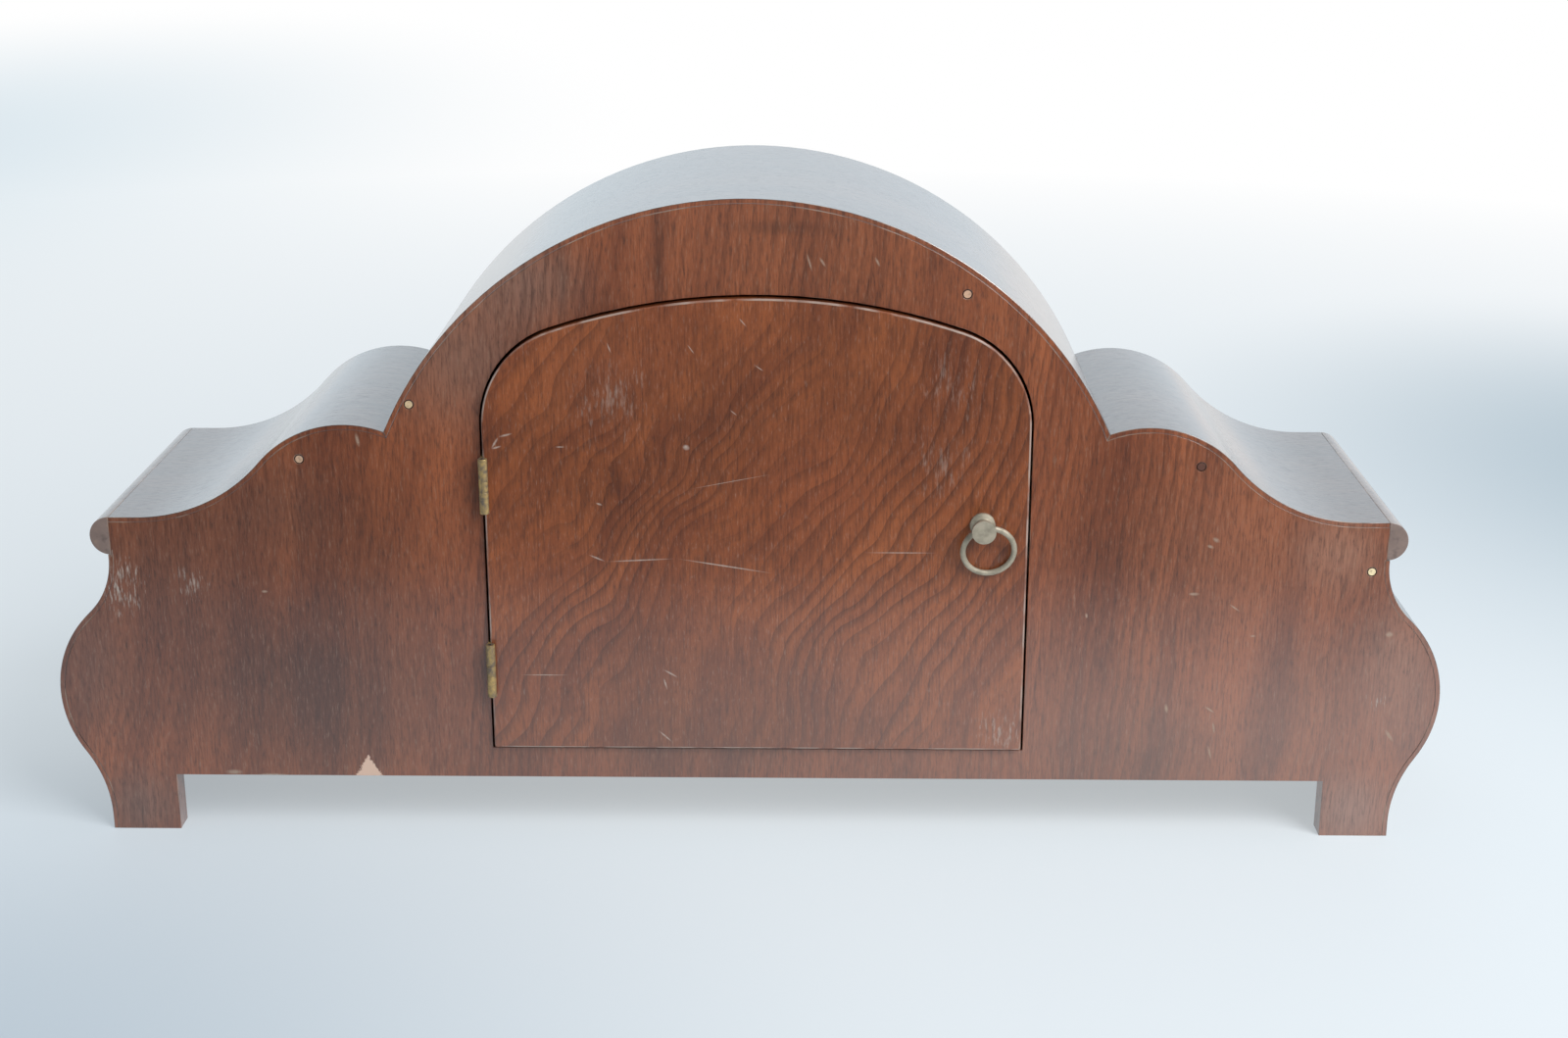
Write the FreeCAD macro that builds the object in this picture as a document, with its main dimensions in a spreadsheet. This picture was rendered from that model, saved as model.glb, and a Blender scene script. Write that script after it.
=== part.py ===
import FreeCAD
import Part
import Sketcher
import math
import os
import re
from FreeCAD import Placement, Rotation, Vector

# Table clock with an arched, wave-shouldered wooden case, seen as it stands on a shelf.
# +Z is up, the dial faces -Y and the back door faces +Y. The origin is on the floor, mid-case.
# Lengths are in millimetres and angles in degrees.

SIZES = [
    # case outline, worked up from the floor and out from the arch
    ("foot_straight", 6.3, "upright run at the foot's outer edge"),
    ("ankle_radius", 52.0, "hollow above the foot"),
    ("bulge_radius", 47.0, "round belly of the side"),
    ("neck_radius", 32.0, "hollow under the ear"),
    ("neck_run", 1.73, "upright run under the ear"),
    ("foot_in", 16.5, "belly to foot, inward"),
    ("bulge_out", 24.9, "neck to belly, outward"),
    ("ear_lip", 1.2, "neck stands past the ear joint"),
    ("ear_height", 15.7, "half-round moulding at the shelf's end"),
    ("shelf_length", 11.26, "flat at the shoulder's end"),
    ("sweep_radius", 67.0, "hollow of the shoulder"),
    ("crown_radius", 45.5, "round of the shoulder"),
    ("crown_rise", 38.5, "shoulder's crown above its flat end"),
    ("crown_offset", 2.4, "shoulder's crown past the arch radius"),
    ("arch_radius", 155.6, "arch over the dial"),
    ("arch_drop", 20.6, "arch centre below the shoulder's centre"),
    ("case_depth", 130.0, "front face to back face"),
    ("panel_thick", 10.0, "front and back boards"),
    ("skin_thick", 2.0, "bent veneered skins"),
    ("base_thick", 10.0, "floor board"),
    ("foot_width", 27.9, "foot along the case"),
    ("foot_height", 24.5, "clear height under the case"),
    ("block_side", 16.0, "glue blocks"),
    ("block_length", 60.0, "glue blocks along the case"),
    ("block_place", 185.0, "glue blocks from the middle"),
    ("peg_radius", 1.9, "plugged nail holes in the back board"),
    ("peg_depth", 4.0, "plugs"),
    ("neck_peg_in", 5.6, "plug under the ear, in from the ear's joint"),
    ("neck_peg_below", 4.8, "plug under the ear, below that joint"),
    # back door
    ("door_side_room", 48.3, "arch's side to the door's side"),
    ("door_top_room", 38.1, "arch's crown to the door's top"),
    ("door_bottom", 38.6, "door above the floor"),
    ("door_centre", -4.0, "door's middle, across"),
    ("door_corner", 40.0, "door's top corners"),
    ("door_arch", 250.0, "door's top edge"),
    ("door_proud", 2.5, "door stands out of the back"),
    ("door_gap", 1.0, "room round the door"),
    ("leaf_thick", 0.4, "hinge leaf"),
    ("leaf_depth", 9.0, "hinge leaf into the board"),
    ("knuckle_radius", 1.85, "hinge barrel"),
    ("knuckle_end", 9.0, "outer knuckle"),
    ("knuckle_mid", 4.4, "middle knuckle"),
    ("knuckle_play", 0.05, "between knuckles"),
    ("hinge_pin_radius", 0.9, "hinge pin"),
    ("hinge_in", 0.8, "hinge barrel toward the door from the gap's middle"),
    ("hinge_low", 62.0, "lower hinge above the floor"),
    ("hinge_corner_room", 12.55, "upper hinge below the door's round corner"),
    ("fit_play", 0.05, "running clearance on a radius"),
    ("barrel_clear", 0.3, "free room beside a moving piece"),
    # latch and ring
    ("latch_edge", 18.1, "latch in from the door's free edge"),
    ("latch_height", 135.3, "latch above the floor"),
    ("spindle_radius", 2.6, "latch spindle"),
    ("rose_radius", 5.0, "rim on the door"),
    ("rose_thick", 1.4, "rim on the door"),
    ("neck_size", 3.1, "knob's neck radius"),
    ("neck_slope", 0.8, "taper at the neck's ends"),
    ("head_radius", 4.75, "knob's head"),
    ("head_thick", 1.6, "knob's head"),
    ("head_reach", 10.0, "knob out of the door"),
    ("ring_hole", 1.7, "cross hole radius"),
    ("ring_height", 5.8, "cross hole out of the door"),
    ("ring_tilt", 14.0, "cross hole turned about the knob"),
    ("ring_lean", 12.8, "ring hangs in against the door"),
    ("ring_mean", 10.15, "ring's middle radius"),
    ("ring_wire", 1.15, "ring's wire radius"),
    ("tongue_long", 27.0, "latch tongue from the spindle"),
    ("tongue_past", 5.4, "latch tongue past the spindle"),
    ("tongue_wide", 9.0, "latch tongue"),
    ("tongue_thick", 1.6, "latch tongue"),
    ("nut_radius", 4.2, "latch nut, across corners"),
    ("nut_thick", 2.4, "latch nut"),
    ("keep_thick", 1.2, "latch keep on the back board"),
    ("keep_wide", 14.0, "latch keep"),
    ("keep_high", 46.0, "latch keep"),
    ("keep_lap", 4.0, "latch keep under the door's edge"),
    # dial, glass and hands
    ("dial_height", 145.0, "dial centre above the floor"),
    ("dial_radius", 79.0, "dial"),
    ("dial_thick", 1.0, "dial"),
    ("dial_opening", 62.0, "hole in the front board"),
    ("dial_hole", 5.5, "dial's middle hole"),
    ("key_hole", 5.0, "winding holes in the dial"),
    ("bezel_outer", 88.0, "glass ring"),
    ("bezel_inner", 73.0, "glass ring"),
    ("bezel_reach", 9.0, "glass ring out of the front"),
    ("bezel_wall", 1.5, "lip over the glass"),
    ("bezel_room", 0.8, "glass ring round the dial"),
    ("bezel_knuckle", 2.0, "glass ring's hinge barrel"),
    ("bezel_hinge_room", 0.5, "glass ring's edge to its hinge barrel"),
    ("bezel_foot", 10.0, "glass ring's hinge bracket"),
    ("glass_thick", 2.0, "bowed glass"),
    ("glass_rise", 5.0, "bow of the glass"),
    ("glass_lap", 4.0, "glass under the ring's lip"),
    ("hour_length", 44.0, "hour hand"),
    ("minute_length", 66.0, "minute hand"),
    ("hand_thick", 0.6, "hands"),
    ("hand_gap", 1.2, "between the hands"),
    ("hand_nut_thick", 1.8, "nut on the minute hand"),
    ("hand_clear", 2.0, "hour hand off the dial"),
    # movement frame
    ("plate_wide", 116.0, "movement plates"),
    ("plate_top_room", 12.0, "plates above the anchor"),
    ("plate_low_room", 4.0, "plates below the hammer arbor"),
    ("plate_thick", 2.5, "movement plates"),
    ("plate_gap", 40.0, "between the plates"),
    ("pillar_radius", 4.0, "pillars"),
    ("pillar_inset", 6.0, "pillars in from the plate's edge"),
    ("pillar_stud", 2.0, "pillar's threaded end"),
    ("plate_nut", 4.0, "pillar nut, across corners"),
    ("screw_inset", 12.0, "fixing screws in from the pillars"),
    ("screw_radius", 1.8, "fixing screws"),
    ("screw_head", 3.4, "fixing screw head"),
    ("screw_long", 7.0, "fixing screws into the board"),
    # wheels
    ("barrel_across", 28.0, "barrels from the middle"),
    ("barrel_below", 30.0, "barrels below the dial centre"),
    ("barrel_radius", 21.5, "barrel drum"),
    ("barrel_wall", 1.2, "barrel drum"),
    ("barrel_long", 22.0, "barrel drum"),
    ("spring_room", 1.0, "mainspring inside the drum"),
    ("arbor_radius", 1.5, "wheel arbors"),
    ("pivot_radius", 0.7, "arbor pivots"),
    ("winder_radius", 3.0, "winding arbors"),
    ("winder_pivot", 1.8, "winding arbors' back pivots"),
    ("key_half", 2.1, "winding squares, half across"),
    ("cannon_radius", 2.5, "minute hand's arbor"),
    ("pipe_wall", 0.9, "hour hand's pipe"),
    ("wheel_thick", 1.6, "wheels"),
    ("pinion_long", 4.0, "pinions"),
    ("cannon_long", 2.08, "minute hand's pinion"),
    ("dial_wheel_step", 2.56, "minute wheel to hour wheel"),
    ("great_module", 0.8, "great wheels' tooth size"),
    ("second_module", 0.6, "second wheels' tooth size"),
    ("centre_module", 0.45, "centre wheel's tooth size"),
    ("third_module", 0.36, "third wheel's tooth size"),
    ("motion_module", 0.5, "dial wheels' tooth size"),
    ("warning_module", 0.5, "warning wheel's tooth size"),
    ("third_across", 10.0, "third wheel from the middle"),
    ("strike_lean", 5.6, "pin wheel out from the strike barrel, and the fly back"),
    ("lift_pin_radius", 0.6, "hammer's lifting pins"),
    ("lift_pin_long", 2.0, "hammer's lifting pins"),
    ("fly_half", 9.0, "fly's vane, each side of its arbor"),
    ("fly_thick", 0.6, "fly's vane"),
    ("escape_radius", 10.5, "escape wheel"),
    ("escape_depth", 2.1, "escape wheel's teeth"),
    ("anchor_rise", 14.5, "anchor above the escape wheel"),
    ("ratchet_radius", 9.0, "ratchet wheels"),
    ("ratchet_depth", 1.62, "ratchet teeth"),
    ("click_clear", 0.4, "click off the ratchet"),
    ("click_nose", 0.5, "click's nose"),
    ("click_head", 2.4, "click's round head"),
    # pendulum, hammer and gong
    ("pendulum_length", 126.8, "suspension to bob"),
    ("pendulum_back", 12.0, "pendulum behind the back plate"),
    ("rod_radius", 1.25, "pendulum rod"),
    ("bob_radius", 20.0, "pendulum bob"),
    ("bob_thick", 9.0, "pendulum bob"),
    ("rating_radius", 4.5, "rating nut"),
    ("rating_thick", 3.0, "rating nut"),
    ("crutch_long", 34.0, "crutch"),
    ("fork_room", 2.0, "crutch behind the back plate"),
    ("spring_half", 8.0, "suspension spring each side of its bend"),
    ("spring_wide", 5.0, "suspension spring"),
    ("gong_radius", 2.2, "gong rods"),
    ("gong_long", 265.0, "gong rods"),
    ("gong_pitch", 8.0, "between gong rods"),
    ("gong_rise", 15.0, "gong rods above the floor board"),
    ("gong_place", 150.0, "gong block from the middle"),
    ("gong_foot", 30.0, "gong block along the case"),
    ("gong_block_wide", 24.0, "gong block across the case"),
    ("gong_block_high", 22.5, "gong block"),
    ("gong_front", 2.0, "gong's middle in front of the back plate's face"),
    ("hammer_across", 32.0, "hammer arbor from the middle"),
    ("hammer_below", 58.5, "hammer arbor below the dial centre"),
    ("hammer_in", 34.0, "hammer head in from its arbor"),
    ("hammer_head", 5.0, "hammer head radius"),
    ("hammer_gap", 2.0, "hammer head above the gong"),
]
NAMES = {alias for alias, value, meaning in SIZES}

doc = FreeCAD.newDocument("table_clock")
sheet = doc.addObject("Spreadsheet::Sheet", "Sizes")
for row, (alias, value, meaning) in enumerate(SIZES, 1):
    sheet.set(f"A{row}", meaning)
    sheet.set(f"B{row}", str(value))
    sheet.setAlias(f"B{row}", alias)
doc.recompute()

nodes = []
WORD = re.compile(r"[A-Za-z_][A-Za-z_0-9]*")


def size(alias):
    """One driving dimension, as the sheet holds it."""
    return float(sheet.get(alias))


def bind(piece, name, text):
    """Tie a property to the sheet by a sum of the sheet's words."""
    sheet_text = WORD.sub(lambda word: "Sizes." + word[0] if word[0] in NAMES else word[0], text)
    piece.setExpression(name, sheet_text)


def place(piece, x, y, z, turn=None):
    """Set where a piece stands, each coordinate a sum of the sheet's words."""
    if turn is not None:
        piece.Placement = Placement(Vector(), turn)
    for axis, text in zip("xyz", (x, y, z)):
        bind(piece, f"Placement.Base.{axis}", text)


def block(x, y, z, dx, dy, dz, name="block"):
    """A box from its lowest corner and its three lengths."""
    piece = doc.addObject("Part::Box", name)
    for prop, text in zip(("Length", "Width", "Height"), (dx, dy, dz)):
        bind(piece, prop, text)
    place(piece, x, y, z)
    return piece


ALONG = {
    "X": Rotation(Vector(0, 0, 1), Vector(1, 0, 0)),
    "Y": Rotation(Vector(0, 0, 1), Vector(0, 1, 0)),
    "Z": Rotation(),
}


def rod(x, y, z, radius, length, along="Y", name="rod"):
    """A round bar from the middle of its first end."""
    piece = doc.addObject("Part::Cylinder", name)
    bind(piece, "Radius", radius)
    bind(piece, "Height", length)
    place(piece, x, y, z, ALONG[along])
    return piece


def nut(x, y, z, radius, length, name="nut"):
    """A six-sided bar along Y, its radius across the corners."""
    piece = doc.addObject("Part::Prism", name)
    piece.Polygon = 6
    bind(piece, "Circumradius", radius)
    bind(piece, "Height", length)
    place(piece, x, y, z, ALONG["Y"])
    return piece


def join(*pieces):
    """Several shapes made one solid."""
    piece = doc.addObject("Part::MultiFuse", "join")
    piece.Shapes = list(pieces)
    return piece


def cut(base, *tools):
    """A shape with others taken out of it."""
    piece = doc.addObject("Part::Cut", "cut")
    piece.Base = base
    piece.Tool = tools[0] if len(tools) == 1 else join(*tools)
    return piece


def group(*pieces):
    """Like pieces that share one node, each its own solid."""
    piece = doc.addObject("Part::Compound", "group")
    piece.Links = list(pieces)
    return piece


def solid(shape, name="solid"):
    """A shape worked out here from the sheet's sizes."""
    piece = doc.addObject("Part::Feature", name)
    piece.Shape = shape
    return piece


def turned(profile, x, y, z, name="turned"):
    """A lathe-turned piece along Y; the profile's points are (radius, place along Y)."""
    body = doc.addObject("PartDesign::Body", name)
    plane = next(f for f in body.Origin.OriginFeatures if f.Role == "XY_Plane")
    sketch = body.newObject("Sketcher::SketchObject", name + "_profile")
    sketch.AttachmentSupport = [(plane, "")]
    sketch.MapMode = "FlatFace"
    count = len(profile)
    corners = [Vector(value_of(radius), value_of(along), 0) for radius, along in profile]
    for i in range(count):
        sketch.addGeometry(Part.LineSegment(corners[i], corners[(i + 1) % count]))
    for i in range(count):
        sketch.addConstraint(Sketcher.Constraint("Coincident", i, 2, (i + 1) % count, 1))
    for i, (radius, along) in enumerate(profile):
        for kind, text, value in (("DistanceX", radius, corners[i].x), ("DistanceY", along, corners[i].y)):
            number = sketch.addConstraint(Sketcher.Constraint(kind, -1, 1, i, 1, value))
            bind(sketch, f"Constraints[{number}]", text)
    revolution = body.newObject("PartDesign::Revolution", name + "_turn")
    revolution.Profile = sketch
    revolution.ReferenceAxis = (sketch, ["V_Axis"])
    revolution.Angle = 360.0
    place(body, x, y, z)
    return body


def node(label, piece):
    """Name a finished piece; the name is also its file's."""
    piece.Label = label
    nodes.append(piece)
    return piece


def value_of(text):
    """A sum of the sheet's words, as a number."""
    return float(sheet.evalExpression(text))


def at(x, z):
    """A point of an outline, in the plane of the boards."""
    return Vector(x, 0, z)


def line(start, end):
    return Part.LineSegment(start, end).toShape()


def arc(centre, start, end):
    """The shorter arc about a centre."""
    middle = (start - centre) + (end - centre)
    middle.normalize()
    return Part.Arc(start, centre + middle * (start - centre).Length, end).toShape()


def sheet_of(edges):
    """The flat face inside a closed run of edges."""
    return Part.Face(Part.Wire(Part.__sortEdges__(edges)))


def board(face, y, thick):
    """A face cut out of board of some thickness, its first side at y."""
    outline_piece = solid(face, "outline")
    piece = doc.addObject("Part::Extrusion", "board")
    piece.Base = outline_piece
    piece.DirMode = "Custom"
    piece.Dir = Vector(0, 1, 0)
    piece.Solid = True
    bind(piece, "LengthFwd", thick)
    place(piece, "0", y, "0")
    return piece


def mirrored(edges):
    """The same edges on the other side of the middle."""
    return [edge.mirror(Vector(), Vector(1, 0, 0)) for edge in edges]


def reach(sum_of_radii, offset):
    """The other leg between two circles' centres, where one leg is the radii less an offset."""
    return math.sqrt(sum_of_radii ** 2 - (sum_of_radii - offset) ** 2)


# Case outline: centres of the arcs, from the floor up and from the arch out.
bulge_z = size("foot_straight") + reach(size("bulge_radius") + size("ankle_radius"), size("foot_in"))
neck_z = bulge_z + reach(size("bulge_radius") + size("neck_radius"), size("bulge_out"))
ear_z = neck_z + size("neck_run")
shelf_z = ear_z + size("ear_height")
crown_z = shelf_z + size("crown_rise") - size("crown_radius")
crown_centre = at(size("arch_radius") + size("crown_offset"), crown_z)
sweep_z = shelf_z + size("sweep_radius")
sweep_leg = (size("crown_radius") + size("sweep_radius")) ** 2 - (sweep_z - crown_centre.z) ** 2
sweep_centre = at(crown_centre.x + math.sqrt(sweep_leg), sweep_z)
arch_centre = at(0, crown_centre.z - size("arch_drop"))
ear_x = sweep_centre.x + size("shelf_length")
neck_x = ear_x + size("ear_lip")
bulge_x = neck_x + size("bulge_out")
foot_x = bulge_x - size("foot_in")
bulge_centre = at(bulge_x - size("bulge_radius"), bulge_z)
ankle_centre = at(foot_x + size("ankle_radius"), size("foot_straight"))
neck_centre = at(neck_x + size("neck_radius"), neck_z)


def toward(start, end, length):
    """The point at some length from start on the way to end."""
    way = end - start
    way.normalize()
    return start + way * length


def crossing(centre_a, radius_a, centre_b, radius_b):
    """The upper point where two circles cross."""
    way = centre_b - centre_a
    apart = way.Length
    along = (radius_a ** 2 - radius_b ** 2 + apart ** 2) / (2 * apart)
    rise = math.sqrt(radius_a ** 2 - along ** 2)
    way.normalize()
    return centre_a + way * along + at(-way.z, way.x) * rise


def outline(inset):
    """The runs of the case's +X half, drawn in by an inset: side, shoulder and where the arch ends."""
    foot_end = at(foot_x - inset, 0)
    foot_top = at(foot_x - inset, size("foot_straight"))
    ankle_end = toward(bulge_centre, ankle_centre, size("bulge_radius") - inset)
    bulge_end = toward(bulge_centre, neck_centre, size("bulge_radius") - inset)
    neck_end = at(neck_x - inset, neck_z)
    side_end = at(neck_x - inset, ear_z)
    side = [
        line(foot_end, foot_top),
        arc(ankle_centre, foot_top, ankle_end),
        arc(bulge_centre, ankle_end, bulge_end),
        arc(neck_centre, bulge_end, neck_end),
        line(neck_end, side_end),
    ]
    shelf_end = at(ear_x, shelf_z - inset)
    shelf_start = at(sweep_centre.x, shelf_z - inset)
    sweep_end = toward(crown_centre, sweep_centre, size("crown_radius") - inset)
    arch_in = size("arch_radius") - inset
    arch_end = crossing(arch_centre, arch_in, crown_centre, size("crown_radius") - inset)
    shoulder = [
        line(shelf_end, shelf_start),
        arc(sweep_centre, shelf_start, sweep_end),
        arc(crown_centre, sweep_end, arch_end),
    ]
    return {
        "side": side,
        "shoulder": shoulder,
        "foot_end": foot_end,
        "side_end": side_end,
        "shelf_end": shelf_end,
        "arch_end": arch_end,
    }


def other(point):
    """The like point on the other side of the middle."""
    return at(-point.x, point.z)


outer = outline(0)
inner = outline(size("skin_thick"))


def panel_face():
    """The front and back boards' shape: inside the skins, with the two feet."""
    heel = at(foot_x - size("foot_width"), 0)
    heel_top = at(heel.x, size("foot_height"))
    half = inner["side"] + inner["shoulder"]
    half += [
        line(heel_top, heel),
        line(heel, inner["foot_end"]),
        line(inner["side_end"], at(ear_x, ear_z)),
        line(at(ear_x, ear_z), inner["shelf_end"]),
    ]
    arch = arc(arch_centre, inner["arch_end"], other(inner["arch_end"]))
    return sheet_of(half + mirrored(half) + [arch, line(heel_top, other(heel_top))])


def skin_face(outer_run, inner_run, start, end):
    """A bent skin between two like runs, closed at its two ends."""
    ends = [line(outer[start], inner[start]), line(outer[end], inner[end])]
    return sheet_of(outer_run + inner_run + ends)


FRONT = "-case_depth / 2"
BACK_INSIDE = "case_depth / 2 - panel_thick"
FRONT_INSIDE = "panel_thick - case_depth / 2"
INSIDE_DEPTH = "case_depth - 2 * panel_thick"
DOOR_HALF = "(arch_radius - door_side_room)"

# Plugged nail holes in the back board: (circle, side, degrees round it, inset from its edge).
PEGS = [
    ("crown", 1, 60.2, 9.3),
    ("arch", 1, 29.5, 4.4),
    ("arch", -1, 54.4, 9.3),
    ("crown", -1, 55.6, 9.4),
]


def peg_place(circle, side, degrees, inset):
    centre = crown_centre if circle == "crown" else arch_centre
    radius = size(circle + "_radius") - inset
    turn = math.radians(degrees)
    return side * (centre.x + radius * math.cos(turn)), centre.z + radius * math.sin(turn)


neck_peg = (size("neck_peg_in") - ear_x, ear_z - size("neck_peg_below"))
peg_places = [peg_place(*peg) for peg in PEGS] + [neck_peg]


def pegs(radius):
    """The plugs, or with more radius their holes."""
    return [rod(f"{x}", "case_depth / 2 - peg_depth", f"{z}", radius, "peg_depth") for x, z in peg_places]


# The door's top: the centre height of its arched edge, and of its round corners under that edge.
door_half = value_of(DOOR_HALF)
door_top_z = arch_centre.z + size("arch_radius") - size("door_top_room") - size("door_arch")
corner_leg = (size("door_arch") - size("door_corner")) ** 2 - (door_half - size("door_corner")) ** 2
door_corner_z = door_top_z + math.sqrt(corner_leg)


def door_face(room):
    """The door's shape: square at the foot, arched over, with round top corners; room widens it."""
    middle = size("door_centre")
    bottom = size("door_bottom")
    top_centre = at(middle, door_top_z)
    sides = []
    tops = []
    feet = []
    for side in (1, -1):
        corner_centre = at(middle + side * (door_half - size("door_corner")), door_corner_z)
        foot = at(middle + side * (door_half + room), bottom - room)
        shoulder = at(foot.x, corner_centre.z)
        top = toward(top_centre, corner_centre, size("door_arch") + room)
        sides += [line(foot, shoulder), arc(corner_centre, shoulder, top)]
        tops.append(top)
        feet.append(foot)
    return sheet_of(sides + [arc(top_centre, *tops), line(*feet)])


def build_case():
    """Boards, bent skins, half-round ears, floor board and glue blocks."""
    dial_bore = rod("0", FRONT, "dial_height", "dial_opening", "panel_thick")
    screw_bores = movement_screws("screw_radius + fit_play", "0")
    node("front_panel", cut(board(panel_face(), FRONT, "panel_thick"), dial_bore, *screw_bores))
    door_hole = board(door_face(size("door_gap")), BACK_INSIDE, "panel_thick")
    back_board = board(panel_face(), BACK_INSIDE, "panel_thick")
    node("back_panel", cut(back_board, door_hole, *pegs("peg_radius + fit_play")))
    node("panel_pegs", group(*pegs("peg_radius")))

    arch_run = [arc(arch_centre, outer["arch_end"], other(outer["arch_end"]))]
    arch_inner = [arc(arch_centre, inner["arch_end"], other(inner["arch_end"]))]
    ends = [line(outer["arch_end"], inner["arch_end"])]
    node("arch_skin", board(sheet_of(arch_run + arch_inner + ends + mirrored(ends)), FRONT, "case_depth"))
    side = skin_face(outer["side"], inner["side"], "foot_end", "side_end")
    shoulder = skin_face(outer["shoulder"], inner["shoulder"], "shelf_end", "arch_end")
    ear_middle = at(ear_x + size("ear_height") / 2, ear_z + size("ear_height") / 2)
    ear_round = Part.Arc(at(ear_x, ear_z), ear_middle, at(ear_x, shelf_z)).toShape()
    ear = sheet_of([ear_round, line(at(ear_x, ear_z), at(ear_x, shelf_z))])
    for name, face in (("side_skin", side), ("shoulder_skin", shoulder), ("ear_moulding", ear)):
        node("right_" + name, board(face, FRONT, "case_depth"))
        node("left_" + name, board(face.mirror(Vector(), Vector(1, 0, 0)), FRONT, "case_depth"))

    half_base = f"({foot_x} - skin_thick)"
    gong_bores = [gong_bolt(x_sign, "screw_radius + fit_play") for x_sign in (1, -1)]
    base_long = f"2 * {half_base}"
    base = block(f"-{half_base}", FRONT_INSIDE, "foot_height", base_long, INSIDE_DEPTH, "base_thick")
    node("base_board", cut(base, *gong_bores))

    blocks = []
    for side in (1, -1):
        for y in (FRONT_INSIDE, "case_depth / 2 - panel_thick - block_side"):
            x = f"{side} * block_place - block_length / 2"
            base_top = "foot_height + base_thick"
            blocks.append(block(x, y, base_top, "block_length", "block_side", "block_side"))
        rail_x = f"{side * inner['arch_end'].x} - block_side / 2"
        rail_z = f"{inner['arch_end'].z} - block_side"
        blocks.append(block(rail_x, FRONT_INSIDE, rail_z, "block_side", INSIDE_DEPTH, "block_side"))
        ear_rail = f"{side * ear_x} - block_side * {(side + 1) / 2}"
        ear_rail_high = f"{shelf_z - ear_z} - skin_thick"
        blocks.append(block(ear_rail, FRONT_INSIDE, f"{ear_z}", "block_side", INSIDE_DEPTH, ear_rail_high))
    node("glue_blocks", group(*blocks))


DOOR_FACE = "case_depth / 2 + door_proud"
HINGE_X = f"door_centre + {DOOR_HALF} + door_gap / 2 - hinge_in"
HINGE_Y = "case_depth / 2 + door_proud + knuckle_radius + barrel_clear"
HINGE_HIGH = "2 * knuckle_end + knuckle_mid + 2 * knuckle_play"
LEAF_Y = "case_depth / 2 - leaf_depth"
LEAF_STOP = "knuckle_radius + barrel_clear"


def hinge_leaf(z, leaf_x, knuckles):
    """One leaf of a butt hinge: a plate in the door's gap and its knuckles on the barrel line."""
    plate_deep = f"{HINGE_Y} - ({LEAF_Y}) - ({LEAF_STOP})"
    pieces = [block(leaf_x, LEAF_Y, z, "leaf_thick", plate_deep, HINGE_HIGH)]
    for start, length in knuckles:
        low = f"{z} + {start}"
        pieces.append(block(leaf_x, LEAF_Y, low, "leaf_thick", f"{HINGE_Y} - ({LEAF_Y})", length))
        pieces.append(rod(HINGE_X, HINGE_Y, low, "knuckle_radius", length, "Z"))
    bore = rod(HINGE_X, HINGE_Y, z, "hinge_pin_radius + fit_play", HINGE_HIGH, "Z")
    return cut(join(*pieces), bore)


def build_hinges():
    """Two brass butt hinges, their leaves in the gap at the door's +X edge; gives their pins."""
    case_leaf = f"door_centre + {DOOR_HALF} + door_gap - leaf_thick"
    door_leaf = f"door_centre + {DOOR_HALF}"
    ends = [("0", "knuckle_end"), ("knuckle_end + knuckle_mid + 2 * knuckle_play", "knuckle_end")]
    middle = [("knuckle_end + knuckle_play", "knuckle_mid")]
    heights = ("hinge_low", f"{door_corner_z} - hinge_corner_room - ({HINGE_HIGH})")
    node("case_hinge_leaves", group(*[hinge_leaf(z, case_leaf, ends) for z in heights]))
    node("door_hinge_leaves", group(*[hinge_leaf(z, door_leaf, middle) for z in heights]))
    return [rod(HINGE_X, HINGE_Y, z, "hinge_pin_radius", HINGE_HIGH, "Z") for z in heights]


LATCH_X = f"door_centre - {DOOR_HALF} + latch_edge"
TONGUE_Y = "case_depth / 2 - panel_thick - keep_thick - barrel_clear - tongue_thick"


def build_door():
    """The door board, with the latch spindle's bore, and the keep that it shuts against."""
    thick = "panel_thick + door_proud"
    bore = rod(LATCH_X, BACK_INSIDE, "latch_height", "spindle_radius + fit_play", thick)
    node("back_door", cut(board(door_face(0), BACK_INSIDE, thick), bore))
    keep_x = f"door_centre - {DOOR_HALF} + keep_lap - keep_wide"
    keep_y = f"{BACK_INSIDE} - keep_thick"
    keep_z = "latch_height - keep_high / 2"
    node("latch_keep", block(keep_x, keep_y, keep_z, "keep_wide", "keep_thick", "keep_high"))


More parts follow.
